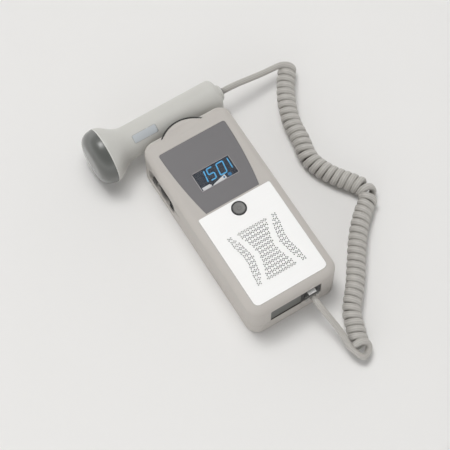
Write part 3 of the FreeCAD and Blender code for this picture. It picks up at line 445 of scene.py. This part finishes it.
fine = walk(core_points, FINE_STEP)
curvatures = []
for i in range(len(fine)):
    before, after = fine[max(0, i - WINDOW)], fine[min(len(fine) - 1, i + WINDOW)]
    span = max(FINE_STEP, (after[0] - before[0]).length)
    curvatures.append(before[1].angle(after[1]) / span)
turns, total = [], 0.0
for i, curvature in enumerate(curvatures):
    tightest = (WIRE_D + TURN_GAP) / max(LEAST_ROOM, 1.0 - COIL_RADIUS * curvature)
    ripple = (1.0 + LONG_RIPPLE * sin(i * FINE_STEP * 2 * pi / LONG_WAVE)
              + SHORT_RIPPLE * sin(i * FINE_STEP * 2 * pi / SHORT_WAVE))
    total += FINE_STEP / max(TURN_PITCH * ripple, tightest)
    turns.append(total)
turn_count = round(total) + PART_TURN
stretch = turn_count / total
helix, next_turn = [], 0.0
for (middle, heading), turn in zip(fine, turns):
    if turn * stretch >= next_turn:
        angle = 2 * pi * turn * stretch
        side = UP.cross(heading).normalized()
        lift = heading.cross(side)
        wobble = 1.0 + WOBBLE * sin(turn * WOBBLE_RATE)
        radius = COIL_RADIUS * SPREAD * wobble
        helix.append(middle + radius * (cos(angle) * lift + sin(angle) * side))
        next_turn += 1.0 / STEPS_PER_TURN
print("helix:", turn_count, "turns,", len(helix), "control points")

# %% [markdown]
# The wire is a tube swept along its line. A cord that is wound and baked comes out flattened:
# its turns press against each other, so in the coil its section is a rounded oblong, wide along
# the coil and thin across it, while both leads stay round. Each ring of the sweep therefore knows
# how far it is into the coil, and which way the coil runs there. On the leads the frame is
# carried from ring to ring without twisting.

# %% Sweep the wire
TUBE_SIDES = 14
OBLONG = 2.6                                 # 2 is an ellipse, and more is squarer
FADE_FROM, FADE_RATE = 2.6, 1.5              # flat to 1.07 coil radii out, round from 1.73


def from_bmesh(name, mesh, smooth=True):
    """Makes an object of a bmesh, with its faces pointing out."""
    bmesh.ops.recalc_face_normals(mesh, faces=mesh.faces)
    data = bpy.data.meshes.new(name)
    mesh.to_mesh(data)
    mesh.free()
    for face in data.polygons:
        face.use_smooth = smooth
    made = bpy.data.objects.new(name, data)
    bpy.context.scene.collection.objects.link(made)
    return made


def bridge(mesh, lower, upper):
    """Joins two closed rings of points with a face for each side, and returns the faces."""
    faces = []
    for k in range(len(lower)):
        nxt = (k + 1) % len(lower)
        faces.append(mesh.faces.new((lower[k], lower[nxt], upper[nxt], upper[k])))
    return faces


def square_to(direction, ahead):
    """The part of a direction that is square to the way ahead."""
    return (direction - ahead * direction.dot(ahead)).normalized()


def rounded(value):
    """A cosine or sine of the ring, pushed out towards an oblong."""
    return (1 if value > 0 else -1) * abs(value) ** (2 / OBLONG)


wire_line = nurbs("wire_line", LEAD_A + [tuple(p) for p in helix] + LEAD_B, 3)
wire_path = line_points(wire_line)
discard(wire_line)
wire_length = sum((b - a).length for a, b in zip(wire_path, wire_path[1:]))

coil_tree = KDTree(len(fine))
for i, (middle, heading) in enumerate(fine):
    coil_tree.insert(middle, i)
coil_tree.balance()
last = len(wire_path) - 1
ahead = [(wire_path[min(i + 1, last)] - wire_path[max(i - 1, 0)]).normalized()
         for i in range(last + 1)]
flat, across = [], [None] * (last + 1)
for i, point in enumerate(wire_path):
    _, nearest, distance = coil_tree.find(point)
    flat.append(min(1.0, max(0.0, FADE_FROM - FADE_RATE * distance / COIL_RADIUS)))
    if flat[-1] > 0.0:
        across[i] = square_to(fine[nearest][1], ahead[i])
first_flat = next(i for i, value in enumerate(flat) if value > 0.0)
for i in range(first_flat - 1, -1, -1):
    across[i] = square_to(across[i + 1], ahead[i])
for i in range(1, last + 1):
    across[i] = across[i] or square_to(across[i - 1], ahead[i])

tube, rings = bmesh.new(), []
for point, forward, sideways, amount in zip(wire_path, ahead, across, flat):
    outward = forward.cross(sideways)
    half_width = (WIRE_D + amount * (FLAT_WIDTH - WIRE_D)) / 2
    half_height = (WIRE_D + amount * (FLAT_HEIGHT - WIRE_D)) / 2
    ring = []
    for k in range(TUBE_SIDES):
        c, s = cos(2 * pi * k / TUBE_SIDES), sin(2 * pi * k / TUBE_SIDES)
        c, s = (plain + amount * (rounded(plain) - plain) for plain in (c, s))
        ring.append(tube.verts.new(point + half_width * c * sideways + half_height * s * outward))
    rings.append(ring)
wire_uv = tube.loops.layers.uv.new("wire")   # u runs once round the wire, v along it
for i, (lower, upper) in enumerate(zip(rings, rings[1:])):
    for k, face in enumerate(bridge(tube, lower, upper)):
        for loop, (u, v) in zip(face.loops, ((k, i), (k + 1, i), (k + 1, i + 1), (k, i + 1))):
            loop[wire_uv].uv = (u / TUBE_SIDES, v / len(rings))
tube.faces.new(list(reversed(rings[0])))
tube.faces.new(rings[-1])
cord = from_bmesh("curly_cord", tube)
print("wire:", round(wire_length, 3), "m,", len(cord.data.polygons), "faces")

# %% [markdown]
# ### The cord's skin
# The jacket is soft light grey plastic with a satin sheen. The die it is drawn through leaves fine
# lines along it, and these have to follow the wire round every turn. So they are a wave across
# the tube's own UV map, whose u runs round the wire. The noise makes them fade in and out.

# %% Cord finish
CORD_GREY = (0.450, 0.434, 0.407)
DIE_LINES = 11                               # round the wire
cord_skin = Finish("cord_plastic", CORD_GREY, 0.42)
wire_map = cord_skin.add("ShaderNodeUVMap", {"uv_map": "wire"})
round_wire = cord_skin.add("ShaderNodeSeparateXYZ", Vector=wire_map.outputs["UV"])
line_angle = cord_skin.math("MULTIPLY", round_wire.outputs["X"], 2 * pi * DIE_LINES)
wave = cord_skin.math("SINE", line_angle)
fading = cord_skin.between(cord_skin.noise(5.0, 3.0), 0.2, 0.8)
lines = cord_skin.math("MULTIPLY_ADD", wave, fading, 0.5)
# The colour is darker in the lines' grooves and lighter on their crests: painted shade and light.
cord_skin.tint(lines, shade(CORD_GREY, 0.84), shade(CORD_GREY, 1.08))
cord_skin.rough(cord_skin.noise(3.0), 0.36, 0.5)
cord_skin.bump(lines, 0.06)
cord.data.materials.append(cord_skin.material)
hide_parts("cord_lead_probe", "cord_coil", "cord_lead_case")
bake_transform(cord)

# %% [markdown]
# ## The speaker plate
# The bright plate over the speaker is stamped sheet with five hundred small holes. They stand in
# thirteen rows. Along a row, a pair of holes and a single hole between them take turns, like the
# spots on a die. The rows form a waisted field between two bands that bow in with it. First the
# holes are laid out, as bare points: both lists go from an edge row in to the middle row.

# %% Lay out the holes
HOLE_STEP = 1.195 * MM
ROW_STEP, LINE_STEP = 3.35 * MM, 0.80 * MM
FIELD_MIDDLE_Y = -38.6 * MM
# Each row of the field: its last column, and whether the odd or the even columns hold pairs.
FIELD = ((10, 1), (9, 1), (8, 1), (7, 1), (6, 0), (6, 1), (5, 1))
# Each row of a band: its middle in millimetres from the centre line, and its columns.
BANDS = ((18.95, 3), (17.7, 4), (17.05, 5), (16.2, 5), (15.55, 5), (14.85, 5), (14.3, 6))
MIDDLE_ROW = len(FIELD) - 1

hole_places = []
for row in range(2 * MIDDLE_ROW + 1):
    step_in = MIDDLE_ROW - abs(row - MIDDLE_ROW)
    (reach, parity), (band_middle, columns) = FIELD[step_in], BANDS[step_in]
    row_holes = [(column * HOLE_STEP, column % 2 == parity) for column in range(-reach, reach + 1)]
    for k in range(columns):
        x = band_middle * MM + (k - (columns - 1) / 2) * HOLE_STEP
        row_holes += [(side * x, (k + columns) % 2 == 1) for side in (-1, 1)]
    row_y = FIELD_MIDDLE_Y + (MIDDLE_ROW - row) * ROW_STEP
    for x, paired in row_holes:
        for line in ((-1, 1) if paired else (0,)):
            hole_places.append((x, row_y + line * LINE_STEP, 0.0))
print(len(hole_places), "holes in", 2 * MIDDLE_ROW + 1, "rows of three lines")

# %% [markdown]
# Geometry Nodes then punch the plate. A small circle stands on every point, and together with the
# plate's rounded outline and the button's hole it goes into Fill Curve, which fills what lies
# between them and leaves the holes open. Extruding that sheet gives the plate its thickness, and
# a flipped copy of the sheet closes its underside. A boolean could cut the holes too, but it
# would cut five hundred times, and this fills once. The walls that the extrusion makes get a
# finish of their own: a punched edge is rough and dull, and its near-black colour is painted
# shade, which darkens the holes and the plate's rim.
#
# The helper joins nodes by name, so that the tree reads from top to bottom.

# %% A helper for geometry trees
class GeometryTree:
    """A Geometry Nodes tree with named inputs for its sizes."""

    def __init__(self, name, inputs):
        self.tree = bpy.data.node_groups.new(name, "GeometryNodeTree")
        sockets = self.tree.interface
        sockets.new_socket("Geometry", in_out="INPUT", socket_type="NodeSocketGeometry")
        self.ids = {}
        for label, kind in inputs.items():
            made = sockets.new_socket(label, in_out="INPUT", socket_type="NodeSocket" + kind)
            self.ids[label] = made.identifier
        sockets.new_socket("Geometry", in_out="OUTPUT", socket_type="NodeSocketGeometry")
        self.start = self.tree.nodes.new("NodeGroupInput")
        self.end = self.tree.nodes.new("NodeGroupOutput")

    def sized(self, label):
        return self.start.outputs[label]

    def node(self, kind, settings=None, **inputs):
        made = self.tree.nodes.new(kind)
        for name, value in (settings or {}).items():
            setattr(made, name, value)
        for name, value in inputs.items():
            self.feed(made, name.replace("_", " "), value)
        return made

    def feed(self, node, socket, value):
        if isinstance(value, bpy.types.NodeSocket):
            self.tree.links.new(value, node.inputs[socket])
        else:
            node.inputs[socket].default_value = value

    def join(self, *shapes):
        made = self.node("GeometryNodeJoinGeometry")
        for shape in reversed(shapes):
            self.tree.links.new(shape, made.inputs[0])
        return made.outputs[0]

    def finish(self, shape, material, *others):
        """Ends the tree in real geometry with its material, and others on selected faces."""
        real = self.node("GeometryNodeRealizeInstances", Geometry=shape)
        dressed = self.node("GeometryNodeSetMaterial", Geometry=real.outputs[0], Material=material)
        for selection, other in others:
            dressed = self.node("GeometryNodeSetMaterial", Geometry=dressed.outputs[0],
                                Selection=selection, Material=other)
        self.tree.links.new(dressed.outputs[0], self.end.inputs[0])

    def grow(self, name, points, sizes):
        """Runs the tree on bare points and returns a plain mesh object."""
        data = bpy.data.meshes.new(name)
        data.from_pydata(points, [], [])
        seedbed = bpy.data.objects.new(name + "_points", data)
        bpy.context.scene.collection.objects.link(seedbed)
        modifier = seedbed.modifiers.new(name, "NODES")
        modifier.node_group = self.tree
        for label, value in sizes.items():
            modifier[self.ids[label]] = value
        bpy.context.view_layer.update()
        evaluated = seedbed.evaluated_get(bpy.context.evaluated_depsgraph_get())
        mesh = bpy.data.meshes.new_from_object(evaluated)
        seedbed.modifiers.remove(modifier)
        discard(seedbed)
        mesh.name = name
        made = bpy.data.objects.new(name, mesh)
        bpy.context.scene.collection.objects.link(made)
        return made


# %% [markdown]
# The plate's own finish is a silvery white satin with a faint brushed line along its width, and
# it is smoother along the brush than across it.

# %% Plate finish
PLATE_WHITE = (0.860, 0.858, 0.850)
plate_metal = Finish("plate_metal", PLATE_WHITE, 0.36, Metallic=0.04, Specular_IOR_Level=0.3)
brushed = plate_metal.noise(0.5, 3.0, plate_metal.place((0.03, 1.0, 1.0)))
plate_metal.tint(brushed, shade(PLATE_WHITE, 0.975), shade(PLATE_WHITE, 1.015))
plate_metal.rough(plate_metal.noise(3.0), 0.30, 0.42)
plate_metal.bump(brushed, 0.003, 0.6)
# The punched walls are near black: a rough dull edge, with painted shade in the holes and at the
# rim.
punched_edge_painted_shade = Finish("punched_edge_painted_shade", (0.085, 0.078, 0.070), 0.6)
punched_edge_painted_shade.rough(punched_edge_painted_shade.noise(0.3), 0.55, 0.75)

# %% [markdown]
# The plate lies in its recess in the case's face. Its size and height come from the box of the
# model's own plate, which it replaces.

# %% Punch the plate
plate_tree = GeometryTree("perforated_plate", {
    "Hole Radius": "Float", "Thickness": "Float", "Width": "Float", "Length": "Float",
    "Lower Corners": "Float", "Upper Corners": "Float", "Button Radius": "Float",
    "Middle": "Vector", "Button Place": "Vector", "Underside": "Vector"})
t = plate_tree                               # short, because every step below starts with it
WELD = 0.000001

hole = t.node("GeometryNodeCurvePrimitiveCircle", Resolution=8, Radius=t.sized("Hole Radius"))
holes = t.node("GeometryNodeInstanceOnPoints", Points=t.start.outputs["Geometry"],
               Instance=hole.outputs[0])
outline = t.node("GeometryNodeCurvePrimitiveQuadrilateral", Width=t.sized("Width"),
                 Height=t.sized("Length"))
end_of = t.node("ShaderNodeSeparateXYZ", Vector=t.node("GeometryNodeInputPosition").outputs[0])
upper_end = t.node("FunctionNodeCompare", A=end_of.outputs["Y"], B=0.0)
radius = t.node("GeometryNodeSwitch", {"input_type": "FLOAT"}, Switch=upper_end.outputs[0])
t.feed(radius, "False", t.sized("Lower Corners"))
t.feed(radius, "True", t.sized("Upper Corners"))
corners = t.node("GeometryNodeFilletCurve", {"mode": "POLY"}, Curve=outline.outputs[0], Count=8,
                 Radius=radius.outputs[0])
outline_there = t.node("GeometryNodeTransform", Geometry=corners.outputs[0],
                       Translation=t.sized("Middle"))
button_hole = t.node("GeometryNodeCurvePrimitiveCircle", Resolution=48,
                     Radius=t.sized("Button Radius"))
button_there = t.node("GeometryNodeTransform", Geometry=button_hole.outputs[0],
                      Translation=t.sized("Button Place"))
loops = t.join(outline_there.outputs[0], button_there.outputs[0],
               t.node("GeometryNodeRealizeInstances", Geometry=holes.outputs[0]).outputs[0])
sheet = t.node("GeometryNodeFillCurve", Curve=loops)
raised = t.node("GeometryNodeExtrudeMesh", Mesh=sheet.outputs[0], Offset_Scale=t.sized("Thickness"))
t.feed(raised, "Individual", False)
below = t.node("GeometryNodeFlipFaces", Mesh=sheet.outputs[0])
closed = t.node("GeometryNodeMergeByDistance", Geometry=t.join(raised.outputs[0], below.outputs[0]),
                Distance=WELD)
seated = t.node("GeometryNodeTransform", Geometry=closed.outputs[0],
                Translation=t.sized("Underside"))
t.finish(seated.outputs[0], plate_metal.material, (raised.outputs["Side"], punched_edge_painted_shade.material))

plate_low, plate_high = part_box("speaker_plate")
bezel_low, bezel_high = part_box("button_bezel")
button_middle = [(a + b) / 2 for a, b in zip(bezel_low, bezel_high)]
plate = plate_tree.grow("perforated_plate", hole_places, {
    "Hole Radius": 0.50 * MM, "Thickness": plate_high[2] - plate_low[2],
    "Width": plate_high[0] - plate_low[0], "Length": plate_high[1] - plate_low[1],
    "Lower Corners": 4.0 * MM, "Upper Corners": 1.5 * MM,
    "Button Radius": (bezel_high[0] - bezel_low[0]) / 2 + 0.1 * MM,
    "Middle": (0.0, (plate_low[1] + plate_high[1]) / 2, 0.0),
    "Button Place": (0.0, button_middle[1], 0.0), "Underside": (0.0, 0.0, plate_low[2])})
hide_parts("speaker_plate")
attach(plate, "case")
print("plate:", len(plate.data.polygons), "faces, height",
      round(plate.dimensions[2] * 1000, 2), "mm")

# %% [markdown]
# ## What the display shows
# The display is a backlit segment display: thin strokes that lean a little, as on any digital
# clock, a battery, a rising wedge for the volume, and a round sign for the sound. The strokes
# are printed figures in the real thing. Here they are slips a twentieth of a millimetre thick
# that glow, between the dark glass and the lens.
#
# Each figure is a closed outline on the display's plane that is given a little height.

# %% Flat figures
_, display_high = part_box("display_glass")
FIGURE_Z = (display_high[2] + 0.01 * MM, display_high[2] + 0.06 * MM)


def prism(mesh, outline, z0, z1):
    """Adds an upright block over a flat closed outline."""
    lower = [mesh.verts.new((x, y, z0)) for x, y in outline]
    upper = [mesh.verts.new((x, y, z1)) for x, y in outline]
    mesh.faces.new(lower)
    mesh.faces.new(upper)
    bridge(mesh, lower, upper)


def stroke(a, b, width):
    """A bar from a to b with pointed ends, as one segment of a digit."""
    a, b = Vector(a), Vector(b)
    along = (b - a).normalized() * (width / 2)
    across = Vector((-along.y, along.x))
    return [a, a + along + across, b - along + across, b, b - along - across, a + along - across]


SEGMENTS = {"0": "abcdef", "1": "bc", "5": "acdfg"}
CORNERS = {"a": ((0, 2), (1, 2)), "b": ((1, 2), (1, 1)), "c": ((1, 1), (1, 0)),
           "d": ((1, 0), (0, 0)), "e": ((0, 0), (0, 1)), "f": ((0, 1), (0, 2)),
           "g": ((0, 1), (1, 1))}             # column and half row of each end


def digit(mesh, sign, left, width, foot=29.4, height=9.6, lean=0.15, thick=0.95):
    """Adds a seven-segment digit, its measures in millimetres."""
    def corner(i, j):
        y = foot + height * j / 2
        return ((left + width * i + lean * (y - foot)) * MM, y * MM)
    for name in SEGMENTS[sign]:
        (i, j), (k, m) = CORNERS[name]
        prism(mesh, stroke(corner(i, j), corner(k, m), thick * MM), *FIGURE_Z)


# %% [markdown]
# The numbers are bright blue, the battery and the wedge white, and the round signs a dim blue, so
# they are three pieces with three glowing finishes. The glow is kept at the strength of a lit
# surface: it must read as a display, not as a lamp. The outlines are in millimetres.

# %% Digits and signs
BATTERY = ((-14.6, 24.9), (-7.9, 24.9), (-7.9, 25.5), (-7.1, 25.5), (-7.1, 26.8), (-7.9, 26.8),
           (-7.9, 27.5), (-14.6, 27.5))
WEDGE = ((-5.9, 24.9), (5.8, 25.3), (5.5, 28.7), (-5.7, 25.7))
ON_WEDGE_Z = (FIGURE_Z[1], FIGURE_Z[1] + 0.01 * MM)
ROUND_SIGNS = (((4.2, 26.8), 0.8, 16, ON_WEDGE_Z),    # middle, radius, sides, foot and top
               ((9.1, 26.9), 1.5, 20, FIGURE_Z))


def in_metres(outline):
    return [(x * MM, y * MM) for x, y in outline]


def glowing(name, colour, strength):
    finish = Finish(name, shade(colour, 0.5), 0.5, Emission_Strength=strength)
    finish.shader.inputs["Emission Color"].default_value = (*colour, 1.0)
    finish.rough(finish.noise(1.0), 0.4, 0.6)
    return finish.material


digit_mesh = bmesh.new()
digit(digit_mesh, "1", -11.9, 4.0)
digit(digit_mesh, "5", -5.4, 4.6)
digit(digit_mesh, "0", 2.8, 5.6)
digit(digit_mesh, "1", 9.2, 4.4, foot=30.0, height=9.3, lean=0.04, thick=0.85)
digits = from_bmesh("display_digits", digit_mesh, smooth=False)
digits.data.materials.append(glowing("digit_glow", (0.090, 0.46, 0.84), 0.9))

sign_mesh = bmesh.new()
for shape in (BATTERY, WEDGE):
    prism(sign_mesh, in_metres(shape), *FIGURE_Z)
signs = from_bmesh("display_signs", sign_mesh, smooth=False)
signs.data.materials.append(glowing("sign_glow", (0.80, 0.80, 0.80), 0.75))

dot_mesh = bmesh.new()
for (x, y), size, sides, heights in ROUND_SIGNS:
    round_angles = [2 * pi * k / sides for k in range(sides)]
    circle = [(x + size * cos(a), y + size * sin(a)) for a in round_angles]
    prism(dot_mesh, in_metres(circle), *heights)
dot = from_bmesh("display_dot", dot_mesh, smooth=False)
dot.data.materials.append(glowing("dot_glow", (0.03, 0.19, 0.40), 0.75))
for piece in (digits, signs, dot):
    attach(piece, "case")
print("display figures:", sum(len(piece.data.polygons) for piece in (digits, signs, dot)), "faces")

# %% [markdown]
# ## The sign on the button
# The button carries the usual sign for on and off, a ring that is open at the top with a bar in
# the gap. It is moulded a hair above the button's dished top, so each point of it takes its
# height from the dish.

# %% Power sign
DISH_R, DISH_FLOOR = 24.0 * MM, 38.2 * MM
SIGN_R, SIGN_WIDTH = 1.55 * MM, 0.42 * MM
SIGN_ROOT, SIGN_TOP = -0.05 * MM, 0.06 * MM           # from the dish
RING_GAP, RING_STEPS = 76, 28                         # degrees, open at the top
BAR_Y = (0.5 * MM, 1.2 * MM, 2.1 * MM)
_, button_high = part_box("power_button")


def on_dish(x, y, lift):
    """A point over the button's dish, x and y from the button's middle."""
    dish_rise = (x * x + y * y) / (2 * DISH_R)
    return (button_middle[0] + x, button_middle[1] + y, DISH_FLOOR + dish_rise + lift)


def dished_band(mesh, inner, outer):
    """A low raised band between two lines of points on the dish."""
    low, high = ([[mesh.verts.new(on_dish(x, y, lift)) for x, y in line] for line in (inner, outer)]
                 for lift in (SIGN_ROOT, SIGN_TOP))
    for k in range(len(inner) - 1):
        mesh.faces.new((high[0][k], high[1][k], high[1][k + 1], high[0][k + 1]))
        mesh.faces.new((low[0][k], low[0][k + 1], low[1][k + 1], low[1][k]))
        for side in (0, 1):
            mesh.faces.new((low[side][k], high[side][k], high[side][k + 1], low[side][k + 1]))
    for k in (0, -1):
        mesh.faces.new((low[0][k], low[1][k], high[1][k], high[0][k]))


power_mesh = bmesh.new()
ring_angles = [radians(90 + RING_GAP / 2 + (360 - RING_GAP) * k / RING_STEPS)
               for k in range(RING_STEPS + 1)]
dished_band(power_mesh, *[[(r * cos(a), r * sin(a)) for a in ring_angles]
                          for r in (SIGN_R - SIGN_WIDTH / 2, SIGN_R + SIGN_WIDTH / 2)])
dished_band(power_mesh, *[[(x, y) for y in BAR_Y] for x in (-SIGN_WIDTH / 2, SIGN_WIDTH / 2)])
power_sign = from_bmesh("power_sign", power_mesh, smooth=False)
power_sign.data.materials.append(moulded("sign_plastic", (0.125, 0.124, 0.12), 0.5))
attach(power_sign, "power_button")
print("button top at", round(button_high[2] * 1000, 2), "mm")

# %% [markdown]
# ## The label plate on the probe
# A small plate is let into the handle, on top and tipped a little towards the case. It stays
# blank here. The plate follows the handle's round, so it is laid out flat, along and round the
# handle, and each point is then wrapped on the cylinder.

# %% Label plate
PROBE_AXIS = (95.4 * MM, 22.3 * MM)                   # y and z of the handle's middle line
LABEL_X = (-36.6 * MM, -16.6 * MM)
LABEL_ANGLES = (radians(102.0), radians(129.0))       # from +Y, towards +Z
HANDLE_R = 13.1 * MM
LABEL_ROOT = 0.3 * MM                                 # how far it reaches into the handle
HALF_COLUMNS = 10


def wrapped_plate(name, grow, lift, corner):
    """A rounded plate on the handle, grown outwards by grow and lifted by lift."""
    x_mid, x_half = sum(LABEL_X) / 2, (LABEL_X[1] - LABEL_X[0]) / 2 + grow
    a_mid = sum(LABEL_ANGLES) / 2
    v_half = HANDLE_R * (LABEL_ANGLES[1] - LABEL_ANGLES[0]) / 2 + grow
    corner_lines = [v_half - corner + corner * sin(radians(15 * k)) for k in range(7)]
    middle_lines = [v_half * k / 8 for k in (-5, -3, -1, 1, 3, 5)]
    lines = [-v for v in reversed(corner_lines)] + middle_lines + corner_lines
    mesh = bmesh.new()

    def put(u, v, radius):
        angle = a_mid + v / HANDLE_R
        return mesh.verts.new((x_mid + u, PROBE_AXIS[0] + radius * cos(angle),
                               PROBE_AXIS[1] + radius * sin(angle)))

    layers = []
    for radius in (HANDLE_R - LABEL_ROOT, HANDLE_R + lift):
        rows = []
        for v in sorted(lines):
            past = max(0.0, abs(v) - (v_half - corner))
            reach = x_half - corner + sqrt(max(0.0, corner ** 2 - past ** 2))
            rows.append([put(reach * k / HALF_COLUMNS, v, radius)
                         for k in range(-HALF_COLUMNS, HALF_COLUMNS + 1)])
        layers.append(rows)
    for rows in layers:
        for row_a, row_b in zip(rows, rows[1:]):
            for k in range(2 * HALF_COLUMNS):
                mesh.faces.new((row_a[k], row_a[k + 1], row_b[k + 1], row_b[k]))
    inner, outer = layers
    edges = [[[row[side] for row in rows] for rows in layers] for side in (0, -1)]
    edges += [(inner[0], outer[0]), (inner[-1], outer[-1])]
    for low, high in edges:
        for k in range(len(low) - 1):
            mesh.faces.new((low[k], low[k + 1], high[k + 1], high[k]))
    return from_bmesh(name, mesh)


# A slightly larger darker plate under the label shows as a border round it: painted shade for the
# label's recess.
label_shade_border = wrapped_plate("label_shade_border", 0.35 * MM, 0.05 * MM, 1.35 * MM)
label_shade_border.data.materials.append(
    moulded("label_painted_shade", (0.34, 0.34, 0.325), 0.45, grain_depth_mm=0.004))
label = wrapped_plate("label_plate", 0.0, 0.12 * MM, 1.0 * MM)
label.data.materials.append(
    moulded("label_film", (0.475, 0.505, 0.530), 0.32, grain_depth_mm=0.003))
for piece in (label_shade_border, label):
    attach(piece, "probe")
print("label plate:", round((LABEL_X[1] - LABEL_X[0]) * 1000, 1), "mm long")

# %% [markdown]
# ### The bead round the probe's face
# Where the dark face meets the flared shell, the shell ends in a fine rounded bead. Its lighter
# colour is a painted highlight, for the light that its edge catches. It is a ring swept round the
# probe's middle line.

# %% Rim bead
BEAD_X, BEAD_R, BEAD_HALF = -58.95 * MM, 21.65 * MM, 0.5 * MM
BEAD_STEPS, BEAD_SIDES = 96, 10

bead_mesh = bmesh.new()
bead_rings = []
for i in range(BEAD_STEPS):
    turn = 2 * pi * i / BEAD_STEPS
    ring = []
    for k in range(BEAD_SIDES):
        a = 2 * pi * k / BEAD_SIDES
        r = BEAD_R + BEAD_HALF * cos(a)
        ring.append(bead_mesh.verts.new((BEAD_X + BEAD_HALF * sin(a), PROBE_AXIS[0] + r * cos(turn),
                                         PROBE_AXIS[1] + r * sin(turn))))
    bead_rings.append(ring)
for i in range(BEAD_STEPS):
    bridge(bead_mesh, bead_rings[i], bead_rings[(i + 1) % BEAD_STEPS])
bead = from_bmesh("rim_bead", bead_mesh)
# The bead's light colour is a painted highlight.
bead.data.materials.append(moulded("bead_painted_highlight", (0.62, 0.615, 0.59), 0.3, grain_depth_mm=0.003))
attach(bead, "probe")
print("bead:", round(2 * BEAD_R * 1000, 1), "mm across")

# %% [markdown]
# ### A painted shadow under the end panel
# The dark blank beside the cord socket sits a little back from the wall, on a narrow ledge, and a
# dark strip fills the ledge: painted shadow, which from above reads as a thin line under the
# panel. It is one rounded section drawn out along the panel's width.

# %% Painted shadow strip under the end panel
end_low, end_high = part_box("end_panel")
SHADOW_STRIP_BACK, SHADOW_STRIP_FOOT = end_low[1] - 0.02 * MM, end_low[2] - 0.23 * MM
SHADOW_STRIP_REACH = 0.2 * MM                                 # past the panel's left side
SHADOW_STRIP_SECTION = ((-0.56, 0.0), (-0.56, 0.34), (-0.50, 0.52), (-0.36, 0.62), (0.0, 0.66),
                (0.0, 0.0))                           # out from the back and up, in millimetres

shadow_strip_mesh = bmesh.new()
shadow_strip_ends = [[shadow_strip_mesh.verts.new((x, SHADOW_STRIP_BACK + y * MM, SHADOW_STRIP_FOOT + z * MM))
              for y, z in SHADOW_STRIP_SECTION] for x in (end_low[0] - SHADOW_STRIP_REACH, end_high[0])]
bridge(shadow_strip_mesh, *shadow_strip_ends)
for end in shadow_strip_ends:
    shadow_strip_mesh.faces.new(end)
painted_shadow_strip = from_bmesh("end_panel_shadow_strip", shadow_strip_mesh, smooth=False)
# Near black: the colour of the shadow on the ledge, not of a part.
painted_shadow_strip.data.materials.append(moulded("painted_shadow_dark", (0.045, 0.038, 0.030), 0.7, grain_depth_mm=0.005))
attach(painted_shadow_strip, "case")
print("end seal:", round((end_high[0] - end_low[0]) * 1000, 1), "mm long")

# %% [markdown]
# ## Floor and light
# A plain pale sheet inside a white surround, with a wide lamp overhead and a little behind the
# unit, and a weaker one low in front on the left, which fills the shadows. The surround is
# brightest low down, as the walls of a light tent are, so the sides of the
# case are lit without long shadows on the floor. High up behind the unit the tent also has a soft
# bright spot, which the glossy face of the probe mirrors. The strengths are set so that a
# colour renders about as it is written.

# %% Floor, world and lamps
FLOOR_SIZE = 6.0
FLOOR_WHITE = (0.795, 0.788, 0.778)
floor_mesh = bpy.data.meshes.new("floor")
half = FLOOR_SIZE / 2
floor_corners = [(-half, -half, 0), (half, -half, 0), (half, half, 0), (-half, half, 0)]
floor_mesh.from_pydata(floor_corners, [], [(0, 1, 2, 3)])
floor = bpy.data.objects.new("floor", floor_mesh)
bpy.context.scene.collection.objects.link(floor)
floor.data.materials.append(Finish("floor_paper", FLOOR_WHITE, 0.9).material)
floor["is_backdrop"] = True

WORLD_TOP, WORLD_SIDES = 0.20, 1.7               # overhead, and what the horizon adds to it
SIDES_FALL = 3.0                                 # how soon the sides fade towards the top
SPOT_TOWARDS = Vector((-0.06, 0.35, 0.935)).normalized()
SPOT_STRENGTH, SPOT_TIGHTNESS = 10.0, 55.0
world = bpy.data.worlds.new("studio")
world.use_nodes = True
surround = world.node_tree
background = surround.nodes["Background"]
background.inputs["Color"].default_value = (1.0, 0.995, 0.985, 1.0)
direction = surround.nodes.new("ShaderNodeTexCoord").outputs["Generated"]
split = surround.nodes.new("ShaderNodeSeparateXYZ")
surround.links.new(direction, split.inputs[0])
towards_spot = surround.nodes.new("ShaderNodeVectorMath")
towards_spot.operation = "DOT_PRODUCT"
surround.links.new(direction, towards_spot.inputs[0])
towards_spot.inputs[1].default_value = SPOT_TOWARDS


def calculated(value, *steps):
    """Sends a value through a row of sums."""
    for operation, amount in steps:
        step = surround.nodes.new("ShaderNodeMath")
        step.operation = operation
        for socket, source in zip(step.inputs, (value, amount)):
            if isinstance(source, bpy.types.NodeSocket):
                surround.links.new(source, socket)
            else:
                socket.default_value = source
        value = step.outputs[0]
    return value


sides_glow = calculated(split.outputs["Z"], ("ABSOLUTE", 0.0), ("MULTIPLY", -1.0), ("ADD", 1.0),
                        ("POWER", SIDES_FALL), ("MULTIPLY", WORLD_SIDES), ("ADD", WORLD_TOP))
glow = calculated(towards_spot.outputs["Value"], ("MAXIMUM", 0.0), ("POWER", SPOT_TIGHTNESS),
                  ("MULTIPLY", SPOT_STRENGTH), ("ADD", sides_glow))
surround.links.new(glow, background.inputs["Strength"])
bpy.context.scene.world = world


def lamp(name, place, size, watts):
    """A square soft lamp that looks at the middle of the unit and isn't mirrored in it."""
    light = bpy.data.lights.new(name, "AREA")
    light.size = size
    light.energy = watts
    made = bpy.data.objects.new(name, light)
    made.location = place
    made.rotation_euler = (-Vector(place)).to_track_quat("-Z", "Y").to_euler()
    made.visible_glossy = False
    bpy.context.scene.collection.objects.link(made)


lamp("key", (0.10, 0.28, 1.38), 0.75, 5.9)
lamp("fill", (-0.90, -0.60, 0.60), 0.6, 2.0)
bpy.context.scene.view_settings.view_transform = "Standard"

# %% Sizes and finish
new_low, new_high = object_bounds()
corner_pairs = zip((*new_low, *new_high), (*model_low, *model_high))
print("grown by, mm:", [round((a - b) * 1000, 2) for a, b in corner_pairs])
